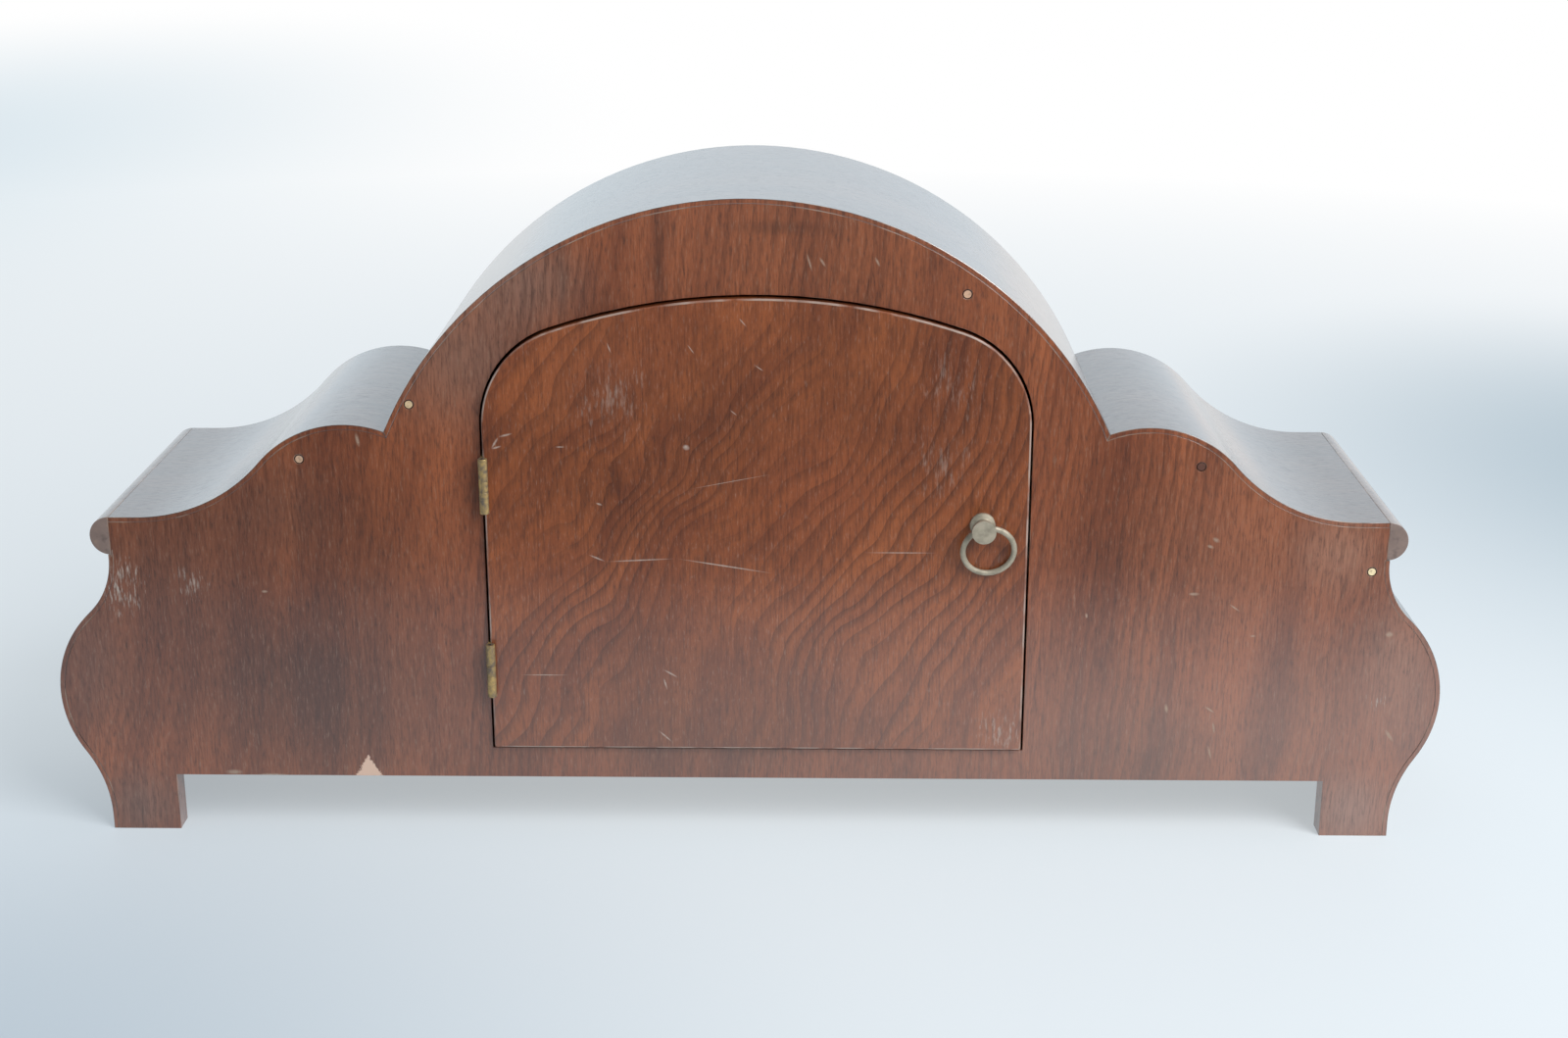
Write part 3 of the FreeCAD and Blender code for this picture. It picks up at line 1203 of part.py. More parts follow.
def build_gong():
    """Two steel rods in an iron block on the floor board, and the hammer that falls on them."""
    block_x = "-gong_place - gong_foot / 2"
    block_y = f"{GONG_Y} - gong_block_wide / 2"
    foot = block(block_x, block_y, GONG_TOP, "gong_foot", "gong_block_wide", "gong_block_high")
    bores = [gong_bolt(sign, "screw_radius + fit_play") for sign in (1, -1)]
    node("gong_block", cut(foot, *bores))
    rods = []
    rod_x = "-gong_place + gong_foot / 2"
    for sign in (1, -1):
        y = f"{GONG_Y} + {sign} * gong_pitch / 2"
        rods.append(rod(rod_x, y, f"{GONG_TOP} + gong_rise", "gong_radius", "gong_long", "X"))
    node("gong_rods", group(*rods))
    bolts = []
    for sign in (1, -1):
        x = f"-gong_place + {sign} * gong_foot / 4"
        head = rod(x, GONG_Y, "foot_height - screw_radius", "screw_head", "screw_radius", "Z")
        bolts.append(join(gong_bolt(sign, "screw_radius"), head))
    node("gong_bolts", group(*bolts))

    gong_z = value_of(f"{GONG_TOP} + gong_rise + gong_radius + hammer_gap") - size("dial_height")
    head_at = at(-size("hammer_in"), gong_z + size("hammer_head") - hammer_at.z)
    behind = value_of(BEHIND)
    arm_y = behind + size("hand_thick")
    arm_thick = size("wheel_thick")
    across = at(-head_at.z, head_at.x)
    across.normalize()
    across = across * size("arbor_radius")
    arm = ring_of([across, head_at + across, head_at - across, across * -1])
    arm = arm.extrude(Vector(0, arm_thick, 0)).translated(Vector(0, arm_y, 0))
    middle = value_of(f"{GONG_Y} - ({MOVEMENT})")
    half_head = size("gong_pitch")
    head = bar(size("hammer_head"), middle - half_head, middle + half_head).translated(head_at)
    shaft = bar(size("arbor_radius"), size("plate_gap") / 2, arm_y + arm_thick)
    on_arbor("hammer", hammer_at, arbor_bars() + [shaft, arm, head])


build_case()
door_pins = build_hinges()
build_door()
build_latch()
build_bezel(door_pins)
build_dial()
build_trains()
build_frame()
build_pendulum()
build_gong()
doc.recompute()

failed = [piece.Label for piece in doc.Objects if {"Invalid", "Error"} & set(piece.State)]
for piece in nodes:
    if piece.Shape.isNull() or not piece.Shape.isValid():
        failed.append(piece.Label)
if failed:
    raise RuntimeError("not built: " + ", ".join(failed))

os.makedirs("parts", exist_ok=True)
for piece in nodes:
    piece.Shape.exportStep(f"parts/{piece.Label}.step")
print(len(nodes), "nodes")
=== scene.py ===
from math import cos, pi, radians, sin

import bmesh
import bpy
from mathutils import Matrix, Vector


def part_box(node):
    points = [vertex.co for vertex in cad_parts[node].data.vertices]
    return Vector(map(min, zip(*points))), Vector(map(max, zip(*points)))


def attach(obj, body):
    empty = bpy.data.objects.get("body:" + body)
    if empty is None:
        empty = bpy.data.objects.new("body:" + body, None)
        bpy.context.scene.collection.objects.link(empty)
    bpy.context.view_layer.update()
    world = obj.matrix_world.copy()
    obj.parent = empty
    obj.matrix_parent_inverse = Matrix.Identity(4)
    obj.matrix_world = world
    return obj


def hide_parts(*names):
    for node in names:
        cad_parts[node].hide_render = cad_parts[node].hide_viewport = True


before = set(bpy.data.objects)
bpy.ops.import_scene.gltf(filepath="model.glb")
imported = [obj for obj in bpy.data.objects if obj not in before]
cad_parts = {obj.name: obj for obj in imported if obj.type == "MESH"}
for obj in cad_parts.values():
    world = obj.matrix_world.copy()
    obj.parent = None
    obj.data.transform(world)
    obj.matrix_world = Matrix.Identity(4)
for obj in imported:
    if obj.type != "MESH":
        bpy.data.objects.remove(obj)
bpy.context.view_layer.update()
scene = bpy.context.scene
scene.view_settings.view_transform = "Standard"

# Floor: a wide sheet of pale, matt paper that the clock stands on.
# It takes the clock's soft shadow and fades into white with distance, as paper does under a bright window.
# Each painted shade spot is x, y, half width, half depth and tone: a darker patch of paper that stands in
# for shade where the paper gets less light.
FLOOR_RADIUS = 6.0
FLOOR_SIDES = 96
PAPER = "#e6edf2"
PAPER_NEAR = "#ecf4f9"
PAPER_FAR = "#ffffff"
FADE_START = 0.35
FADE_END = 1.6
NEAR_GLOW = 0.52
PAINTED_SHADE_SPOTS = ((0.31, 0.33, 0.43, 0.43, "#98adbf"), (-0.58, -0.42, 0.42, 0.58, "#a6bac7"),
               (1.10, -1.60, 0.95, 1.90, "#dbe7ee"))


def tint(code):
    """An sRGB hex colour as linear RGBA."""
    values = [int(code[place:place + 2], 16) / 255 for place in (1, 3, 5)]
    return [v / 12.92 if v <= 0.04045 else ((v + 0.055) / 1.055) ** 2.4 for v in values] + [1.0]


def add(tree, kind, inputs=None, **settings):
    """Add one shader node with its settings and inputs, and give its first output."""
    node = tree.nodes.new("ShaderNode" + kind)
    for name, value in settings.items():
        setattr(node, name, value)
    for name, value in (inputs or {}).items():
        if isinstance(value, bpy.types.NodeSocket):
            tree.links.new(value, node.inputs[name])
        else:
            node.inputs[name].default_value = value
    return node.outputs[0]


def start_material(name):
    """A new material with its node tree and its shader."""
    material = bpy.data.materials.new(name)
    material.use_nodes = True
    tree = material.node_tree
    return material, tree, tree.nodes["Principled BSDF"]


def make_piece(name, bm, *materials):
    """A finished object at the origin from a bmesh whose place is in its vertices."""
    mesh = bpy.data.meshes.new(name)
    bm.to_mesh(mesh)
    bm.free()
    for material in materials:
        mesh.materials.append(material)
    piece = bpy.data.objects.new(name, mesh)
    scene.collection.objects.link(piece)
    return piece


def from_spot(tree, place, centre, half_sizes, turn=0.0):
    """How far a place lies from a spot: 0 in its middle, 1 at its rim. The turn is in degrees."""
    local = add(tree, "Mapping", {"Vector": place, "Location": centre, "Scale": half_sizes,
                                  "Rotation": (0.0, radians(-turn), 0.0)}, vector_type="TEXTURE")
    return add(tree, "VectorMath", {0: local}, operation="LENGTH").node.outputs["Value"]


def in_spot(tree, place, centre, half_sizes, strength=1.0):
    """A soft share: full strength in a spot's middle, fading to nothing at its rim."""
    away = from_spot(tree, place, centre, half_sizes)
    return add(tree, "MapRange", {"Value": away, "To Min": strength, "To Max": 0.0},
               interpolation_type="SMOOTHSTEP")


# Matt paper: a rough, even white that shows light and shadow, with painted shade that makes it dimmer in
# three corners.
# What the eye sees of it is part shadow-taking paper and part steady glow, and far away only the glow.
paper, tree, shader = start_material("matt_paper")
shader.inputs["Roughness"].default_value = 0.95
shader.inputs["Specular IOR Level"].default_value = 0.1
shader.inputs["Base Color"].default_value = tint(PAPER)
place = add(tree, "TexCoord").node.outputs["Object"]
away = add(tree, "VectorMath", {0: place}, operation="LENGTH").node.outputs["Value"]
far = add(tree, "MapRange", {"Value": away, "From Min": FADE_START, "From Max": FADE_END})
colour = add(tree, "MixRGB", {"Fac": far, "Color1": tint(PAPER_NEAR), "Color2": tint(PAPER_FAR)})
# Painted shade: in each spot the paper's colour is darkened toward the spot's tone.
for x, y, half_width, half_depth, tone in PAINTED_SHADE_SPOTS:
    painted_shade = in_spot(tree, place, (x, y, 0.0), (half_width, half_depth, 1.0))
    colour = add(tree, "MixRGB", {"Fac": painted_shade, "Color1": colour, "Color2": tint(tone)})
ray = add(tree, "LightPath").node
seen = add(tree, "Math", {0: ray.outputs["Is Camera Ray"], 1: ray.outputs["Is Glossy Ray"]}, operation="ADD")
seen = add(tree, "Math", {0: seen, 1: ray.outputs["Is Transmission Ray"]}, operation="ADD", use_clamp=True)
part = add(tree, "MapRange", {"Value": far, "To Min": NEAR_GLOW, "To Max": 1.0})
share = add(tree, "Math", {0: seen, 1: part}, operation="MULTIPLY")
glow = add(tree, "Emission", {"Color": colour, "Strength": 1.0})
sheet = add(tree, "MixShader", {0: share, 1: shader.outputs[0], 2: glow})
tree.links.new(sheet, tree.nodes["Material Output"].inputs["Surface"])

bm = bmesh.new()
bmesh.ops.create_circle(bm, cap_ends=True, segments=FLOOR_SIDES, radius=FLOOR_RADIUS)
floor = make_piece("floor", bm, paper)

# Light: a broad soft lamp high on the camera's right and a wide window behind the clock, in a pale room.
# The room is bright behind the clock and dim behind the camera, and a dark card lies out of sight in front,
# so that the polish mirrors only the nearest paper.
ROOM = "#e2eef6"
ROOM_LIGHT = 0.42
MIRRORED_BEHIND = 1.15
MIRRORED_AHEAD = 0.15
LAMPS = (("soft_key", (-1.15, 1.10, 1.30), 1.2, 1.2, 36.0),
         ("back_window", (0.0, -2.6, 1.35), 3.4, 1.7, 20.0))
LAMP_AIM = Vector((0.0, 0.0, 0.10))
CARD_START = 0.36
CARD_REACH = 2.0
CARD_HALF_WIDTH = 1.6
CARD_LIFT = 0.002

world = bpy.data.worlds.new("pale_room")
scene.world = world
world.use_nodes = True
tree = world.node_tree
ray = add(tree, "LightPath").node
way = add(tree, "TexCoord").node.outputs["Generated"]
ahead = add(tree, "SeparateXYZ", {0: way}).node.outputs["Y"]
mirrored = add(tree, "MapRange", {"Value": ahead, "From Min": -0.1, "From Max": 0.45,
                                  "To Min": MIRRORED_BEHIND, "To Max": MIRRORED_AHEAD})
clear = add(tree, "Math", {0: ray.outputs["Is Camera Ray"], 1: ray.outputs["Is Transmission Ray"]},
            operation="ADD", use_clamp=True)
level = add(tree, "MixRGB", {"Fac": ray.outputs["Is Glossy Ray"], "Color1": [ROOM_LIGHT] * 3 + [1.0],
                             "Color2": mirrored})
level = add(tree, "MixRGB", {"Fac": clear, "Color1": level, "Color2": (1.0, 1.0, 1.0, 1.0)})
backdrop = tree.nodes["Background"]
shade = add(tree, "MixRGB", {"Fac": clear, "Color1": tint(ROOM), "Color2": (1.0, 1.0, 1.0, 1.0)})
tree.links.new(shade, backdrop.inputs["Color"])
tree.links.new(level, backdrop.inputs["Strength"])

for name, spot, width, height, watts in LAMPS:
    lamp = bpy.data.lights.new(name, "AREA")
    lamp.shape = "RECTANGLE"
    lamp.size = width
    lamp.size_y = height
    lamp.energy = watts
    stand = bpy.data.objects.new(name, lamp)
    stand.location = spot
    stand.rotation_euler = (LAMP_AIM - Vector(spot)).to_track_quat("-Z", "Y").to_euler()
    stand.visible_camera = False
    stand.visible_glossy = name == "soft_key"
    scene.collection.objects.link(stand)

# Black felt: a flat, deep brown-black with no shine.
FELT = "#231c19"
felt, tree, shader = start_material("black_felt")
shader.inputs["Base Color"].default_value = tint(FELT)
shader.inputs["Roughness"].default_value = 1.0
bm = bmesh.new()
bmesh.ops.create_grid(bm, x_segments=1, y_segments=1, size=1.0)
bmesh.ops.scale(bm, vec=(CARD_HALF_WIDTH, (CARD_REACH - CARD_START) / 2, 1.0), verts=bm.verts)
bmesh.ops.translate(bm, vec=(0.0, (CARD_REACH + CARD_START) / 2, CARD_LIFT), verts=bm.verts)
card = make_piece("dark_card", bm, felt)
card.visible_camera = False
card.visible_diffuse = False
card.visible_shadow = False
card.visible_transmission = False

# Camera: at the photograph's height and tilt, looking at the clock's back from a little above.
# Its place, aim and lens were solved from the outline of the case.
CAMERA_PLACE = (-0.02699, 0.91698, 0.41647)
CAMERA_AIM = (0.0135, -0.9500, -0.3121)
LENS = 52.05
SENSOR_WIDTH = 36.0
CLIP_START = 0.01

camera = bpy.data.objects.new("camera", bpy.data.cameras.new("camera"))
camera.data.lens = LENS
camera.data.sensor_width = SENSOR_WIDTH
camera.data.sensor_fit = "HORIZONTAL"
camera.data.clip_start = CLIP_START
camera.location = CAMERA_PLACE
camera.rotation_euler = Vector(CAMERA_AIM).to_track_quat("-Z", "Y").to_euler()
scene.collection.objects.link(camera)
scene.camera = camera

# Base board with its corner blocks and rails: sawn softwood, glued together out of sight inside the case.
# Nobody polished it, so it stays matt and pale.
RING_SPACING = 3.0
RING_STRETCH = 25.0
EARLY_WOOD = "#b08a5c"
LATE_WOOD = "#8d6840"


def paint(material, *nodes):
    """Give CAD nodes that keep their own mesh a real finish."""
    for node in nodes:
        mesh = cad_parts[node].data
        mesh.materials.clear()
        mesh.materials.append(material)


# Sawn softwood: straight yellow-brown growth rings, 3 mm apart, under dust.
softwood, tree, shader = start_material("sawn_softwood")
place = add(tree, "TexCoord").node.outputs["Object"]
mm = add(tree, "Mapping", {"Vector": place, "Scale": (1000.0 / RING_STRETCH, 1000.0, 1000.0)})
rings = add(tree, "TexWave", {"Vector": mm, "Scale": pi / 10 / RING_SPACING, "Distortion": 2.0,
                              "Detail": 2.0, "Detail Scale": 0.6}, bands_direction="Y", wave_profile="SAW")
colour = add(tree, "MixRGB", {"Fac": rings, "Color1": tint(EARLY_WOOD), "Color2": tint(LATE_WOOD)})
tree.links.new(colour, shader.inputs["Base Color"])
shader.inputs["Roughness"].default_value = 0.8
paint(softwood, "base_board", "glue_blocks")

# Front and back panels: plywood boards 10 mm thick, sawn to the arched outline with two feet each.
# Their show faces are walnut veneer with upright grain, stained and French polished, now worn at the edges.
PANEL_EDGE = 0.00018
SHARP = radians(28.0)
FLAT = radians(0.2)
WELD = 1e-6
FACING = 0.99


def softened(node, width, segments, materials, body):
    """A copy of a CAD node whose sharp edges are rounded; the rounded strips carry worn = 1.

    A second material goes on the faces that look back, a third on those that look to the front."""
    bm = bmesh.new()
    bm.from_mesh(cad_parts[node].data)
    bmesh.ops.remove_doubles(bm, verts=bm.verts, dist=WELD)
    bmesh.ops.dissolve_limit(bm, angle_limit=FLAT, verts=bm.verts, edges=bm.edges)
    rounded_strip = bm.faces.layers.float.new("rounded_strip")
    corners = [edge for edge in bm.edges if edge.calc_face_angle(0.0) > SHARP]
    rounded = bmesh.ops.bevel(bm, geom=corners, offset=width, segments=segments, profile=0.5,
                              affect="EDGES", clamp_overlap=True, material=-1)
    for face in rounded["faces"]:
        face[rounded_strip] = 1.0
    for edge in bm.edges:
        sides = {face[rounded_strip] for face in edge.link_faces}
        edge.smooth = edge.calc_face_angle(pi) < SHARP and len(sides) == 1
    for face in bm.faces:
        face.smooth = True
        if len(materials) == 3 and abs(face.normal.y) > FACING:
            face.material_index = 1 if face.normal.y > 0.0 else 2
    piece = make_piece(node + "_finished", bm, *materials)
    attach(piece, body)
    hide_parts(node)


# What the eye finds in old veneer, by width in mm, from broad stains down to single pores and threads.
# Pores and threads keep only a share of their pace along the grain, so they are long and thin.
# Both are drawn about three times as coarse as real ones, so that they show.
# Spots and marks are ovals as seen from the back, and reach through the whole board.
STAIN_WIDTH = 95.0
ZONE_WIDTH = 48.0
BAND_WIDTH = 17.0
RUB_WIDTH = 14.0
GRIT_WIDTH = 1.3
LINT_WIDTH = 1.1
PORE_WIDTH = 0.75
THREAD_WIDTH = 0.7
PORE_PACE = 0.17
THREAD_PACE = 0.06
THROUGH = 1e6


def along_grain(tree, mm, fine, pace):
    """The place in mm with its axis along the grain slowed to a pace."""
    steps = [1.0 if share == 1.0 else pace for share in fine]
    return add(tree, "VectorMath", {0: mm, 1: steps}, operation="MULTIPLY")


def walnut_figure(tree, mm, dark, mid, pale, fine, slant, line, wander, swell, contrast, burls, patches):
    """The wood's colour: tone bands, broad stains, patches, growth lines that bend round burls, and threads;
    on the back panel some patches are painted shade and sheen.
    """
    stray = wander
    lively = 0.0
    for x, z, reach, more in burls:
        near = in_spot(tree, mm, (x, 0.0, z), (reach, THROUGH, reach))
        stray = add(tree, "Math", {0: near, 1: more, 2: stray}, operation="MULTIPLY_ADD")
        lively = add(tree, "Math", {0: near, 1: lively}, operation="MAXIMUM")
    drift = add(tree, "TexNoise", {"Vector": mm, "Scale": 1 / swell, "Detail": 2.0}).node.outputs["Color"]
    drift = add(tree, "VectorMath", {0: drift, 1: (0.5, 0.5, 0.5)}, operation="SUBTRACT")
    drift = add(tree, "VectorMath", {0: drift, "Scale": stray}, operation="SCALE")
    figure = add(tree, "VectorMath", {0: mm, 1: drift}, operation="ADD")
    figure = add(tree, "Mapping", {"Vector": figure, "Rotation": (0.0, radians(slant), 0.0)})
    figure = add(tree, "VectorMath", {0: figure, 1: fine}, operation="MULTIPLY")

    tone = add(tree, "TexNoise", {"Vector": figure, "Scale": 1 / BAND_WIDTH, "Detail": 5.0,
                                  "Roughness": 0.62})
    tone = add(tree, "MapRange", {"Value": tone, "From Min": 0.34, "From Max": 0.66})
    colour = add(tree, "MixRGB", {"Fac": tone, "Color1": tint(mid), "Color2": tint(pale)})
    cloud = add(tree, "TexNoise", {"Vector": mm, "Scale": 1 / STAIN_WIDTH, "Detail": 2.0})
    cloud = add(tree, "MapRange", {"Value": cloud, "From Min": 0.45, "From Max": 0.70, "To Max": 0.40})
    colour = add(tree, "MixRGB", {"Fac": cloud, "Color1": colour, "Color2": tint(dark)})
    # Patches are stains of the veneer, and on the back panel some are painted shade and sheen.
    for x, z, half_width, half_height, stain_and_shade, strength in patches:
        near = in_spot(tree, mm, (x, 0.0, z), (half_width, THROUGH, half_height), strength)
        colour = add(tree, "MixRGB", {"Fac": near, "Color1": colour, "Color2": tint(stain_and_shade)})

    across = "X" if fine[0] == 1.0 else "Y"
    lines = add(tree, "TexWave", {"Vector": figure, "Scale": pi / 10 / line, "Distortion": 4.0,
                                  "Detail": 4.0, "Detail Scale": 0.8, "Detail Roughness": 0.65},
                bands_direction=across, wave_profile="SAW")
    lines = add(tree, "MapRange", {"Value": lines, "From Min": 0.50, "From Max": 1.0, "To Max": contrast})
    strong = add(tree, "TexNoise", {"Vector": figure, "Scale": 1 / ZONE_WIDTH, "Detail": 1.0})
    strong = add(tree, "MapRange", {"Value": strong, "From Min": 0.36, "From Max": 0.62})
    strong = add(tree, "Math", {0: strong, 1: lively}, operation="MAXIMUM")
    lines = add(tree, "Math", {0: lines, 1: strong}, operation="MULTIPLY")
    colour = add(tree, "MixRGB", {"Fac": lines, "Color1": colour, "Color2": tint(dark)})
    thread = along_grain(tree, mm, fine, THREAD_PACE)
    streak = add(tree, "TexNoise", {"Vector": thread, "Scale": 1 / THREAD_WIDTH, "Detail": 2.0})
    streak = add(tree, "MapRange", {"Value": streak, "From Min": 0.46, "From Max": 0.72, "To Max": 0.42})
    return add(tree, "MixRGB", {"Fac": streak, "Color1": colour, "Color2": tint(dark)})


# Toward the foot, in mm, and more to the right as seen from the back, the colour goes grey: partly old
# polish gone grey and partly painted sheen, a painted reflection of the pale paper and of the lamp on the
# right.
# Lint that clings to the fibres is pale, and torn wood is raw.
BLOOM_SHEEN_TOP = 118.0
BLOOM_SHEEN_FULL = 40.0
BLOOM_SHEEN_LEFT = 200.0
BLOOM_SHEEN_RIGHT = -220.0
BLOOM_SHEEN_GREY = "#a8968f"
LINT_GREY = "#b3a79c"
TORN_WOOD = "#dcb9a3"


def walnut_age(tree, mm, fibre, colour, wear_and_highlight, rub_and_highlight, bloom_and_sheen, marks, scuffs, chips):
    """The colour's signs of use and painted light: scratches, scuffs and torn chips; a grey haze low down
    that is partly bloom and partly painted sheen; and pale rounded edges that are partly wear and partly
    painted highlight.
    """
    # Painted sheen, together with real bloom: the colour goes grey toward the foot and to the right.
    if bloom_and_sheen:
        axes = add(tree, "SeparateXYZ", {0: mm}).node.outputs
        low = add(tree, "MapRange", {"Value": axes["Z"], "From Min": BLOOM_SHEEN_TOP, "From Max": BLOOM_SHEEN_FULL,
                                     "To Max": bloom_and_sheen}, interpolation_type="SMOOTHSTEP")
        side = add(tree, "MapRange", {"Value": axes["X"], "From Min": BLOOM_SHEEN_LEFT, "From Max": BLOOM_SHEEN_RIGHT,
                                      "To Min": 0.15})
        grey = add(tree, "Math", {0: low, 1: side}, operation="MULTIPLY")
        colour = add(tree, "MixRGB", {"Fac": grey, "Color1": colour, "Color2": tint(BLOOM_SHEEN_GREY)})
    grit = add(tree, "TexNoise", {"Vector": mm, "Scale": 1 / GRIT_WIDTH, "Detail": 3.0, "Roughness": 0.7})
    nearest = None
    for x, z, length, width, turn in marks:
        away = from_spot(tree, mm, (x, 0.0, z), (length / 2, THROUGH, width / 2), turn)
        nearest = away if nearest is None else add(tree, "Math", {0: nearest, 1: away}, operation="MINIMUM")
    if nearest is not None:
        scratch = add(tree, "MapRange", {"Value": nearest, "From Min": 1.0, "From Max": 0.3, "To Max": 1.7})
        scratch = add(tree, "Math", {0: scratch, 1: grit}, operation="MULTIPLY")
        colour = add(tree, "MixRGB", {"Fac": scratch, "Color1": colour, "Color2": tint(wear_and_highlight)})
    lint = add(tree, "TexNoise", {"Vector": fibre, "Scale": 1 / LINT_WIDTH, "Detail": 3.0, "Roughness": 0.7})
    for x, z, reach, strength in scuffs:
        away = from_spot(tree, mm, (x, 0.0, z), (reach, THROUGH, reach))
        limit = add(tree, "MapRange", {"Value": away, "To Min": 0.44, "To Max": 0.80})
        speck = add(tree, "Math", {0: lint, 1: limit}, operation="SUBTRACT")
        speck = add(tree, "MapRange", {"Value": speck, "From Max": 0.2, "To Max": strength})
        colour = add(tree, "MixRGB", {"Fac": speck, "Color1": colour, "Color2": tint(LINT_GREY)})
    for x, z, half_width, height in chips:
        local = add(tree, "Mapping", {"Vector": mm, "Location": (x, 0.0, z),
                                      "Scale": (half_width, THROUGH, height)}, vector_type="TEXTURE")
        axes = add(tree, "SeparateXYZ", {0: local}).node.outputs
        flank = add(tree, "Math", {0: axes["X"]}, operation="ABSOLUTE")
        edge = add(tree, "Math", {0: flank, 1: axes["Z"]}, operation="ADD")
        edge = add(tree, "Math", {0: grit, 1: 0.9, 2: edge}, operation="MULTIPLY_ADD")
        torn = add(tree, "MapRange", {"Value": edge, "From Min": 1.48, "From Max": 1.38})
        colour = add(tree, "MixRGB", {"Fac": torn, "Color1": colour, "Color2": tint(TORN_WOOD)})
    # Painted highlight, together with real wear: in patches the rounded strips turn pale.
    rounded_strip = add(tree, "Attribute", attribute_name="rounded_strip").node.outputs["Fac"]
    patch = add(tree, "TexNoise", {"Vector": mm, "Scale": 1 / RUB_WIDTH, "Detail": 3.0})
    patch = add(tree, "MapRange", {"Value": patch, "From Min": rub_and_highlight, "From Max": rub_and_highlight + 0.16, "To Max": 0.8})
    rubbed_and_highlit = add(tree, "Math", {0: rounded_strip, 1: patch}, operation="MULTIPLY")
    return add(tree, "MixRGB", {"Fac": rubbed_and_highlit, "Color1": colour, "Color2": tint(wear_and_highlight)})


def walnut(name, dark, mid, pale, fine=(1.0, 1.0, 0.05), slant=0.0, line=6.0, wander=12.0, swell=120.0,
           contrast=0.5, burls=(), patches=(), marks=(), scuffs=(), chips=(), bloom_and_sheen=0.0, rough=0.30,
           coat_ior=1.5, wear_and_highlight="#a08672", rub_and_highlight=0.50):
    """Polished walnut veneer: its figure, open pores, pale flecks, signs of use and a coat of polish.

    fine says how quickly the figure changes along each axis, and line is the growth lines' spacing in mm.
    wander is how far the lines stray over a swell of so many mm. The rest is in mm and degrees:
    burls are (x, z, reach, stray), patches (x, z, half width, half height, colour, strength), which on the
    back panel are partly painted shade and sheen, marks (x, z, length, width, turn), scuffs (x, z, reach,
    strength) and chips, which are torn triangles, (x, z, half width, height). bloom_and_sheen is how far the
    colour goes grey low down, partly old polish gone grey and partly painted sheen, and a lower
    rub_and_highlight turns more of the rounded edges pale, partly as wear and partly as painted highlight."""
    material, tree, shader = start_material(name)
    place = add(tree, "TexCoord").node.outputs["Object"]
    mm = add(tree, "VectorMath", {0: place, "Scale": 1000.0}, operation="SCALE")
    colour = walnut_figure(tree, mm, dark, mid, pale, fine, slant, line, wander, swell, contrast, burls,
                           patches)
    fibre = along_grain(tree, mm, fine, PORE_PACE)
    pores = add(tree, "TexNoise", {"Vector": fibre, "Scale": 1 / PORE_WIDTH, "Detail": 2.0,
                                   "Roughness": 0.7})
    hollow = add(tree, "MapRange", {"Value": pores, "From Min": 0.53, "From Max": 0.74})
    depth = add(tree, "Math", {0: hollow, 1: 0.54}, operation="MULTIPLY")
    colour = add(tree, "MixRGB", {"Fac": depth, "Color1": colour, "Color2": tint(dark)})
    fleck = add(tree, "MapRange", {"Value": pores, "From Min": 0.43, "From Max": 0.23, "To Max": 0.30})
    colour = add(tree, "MixRGB", {"Fac": fleck, "Color1": colour, "Color2": tint(wear_and_highlight)})
    colour = walnut_age(tree, mm, fibre, colour, wear_and_highlight, rub_and_highlight, bloom_and_sheen, marks, scuffs, chips)
    tree.links.new(colour, shader.inputs["Base Color"])
    gloss = add(tree, "MapRange", {"Value": hollow, "To Min": rough, "To Max": rough + 0.2})
    tree.links.new(gloss, shader.inputs["Roughness"])
    dent = add(tree, "Bump", {"Height": hollow, "Strength": 0.2, "Distance": 0.0002}, invert=True)
    tree.links.new(dent, shader.inputs["Normal"])
    shader.inputs["IOR"].default_value = 1.5
    shader.inputs["Coat Weight"].default_value = 1.0
    shader.inputs["Coat Roughness"].default_value = 0.18
    shader.inputs["Coat IOR"].default_value = coat_ior
    return material


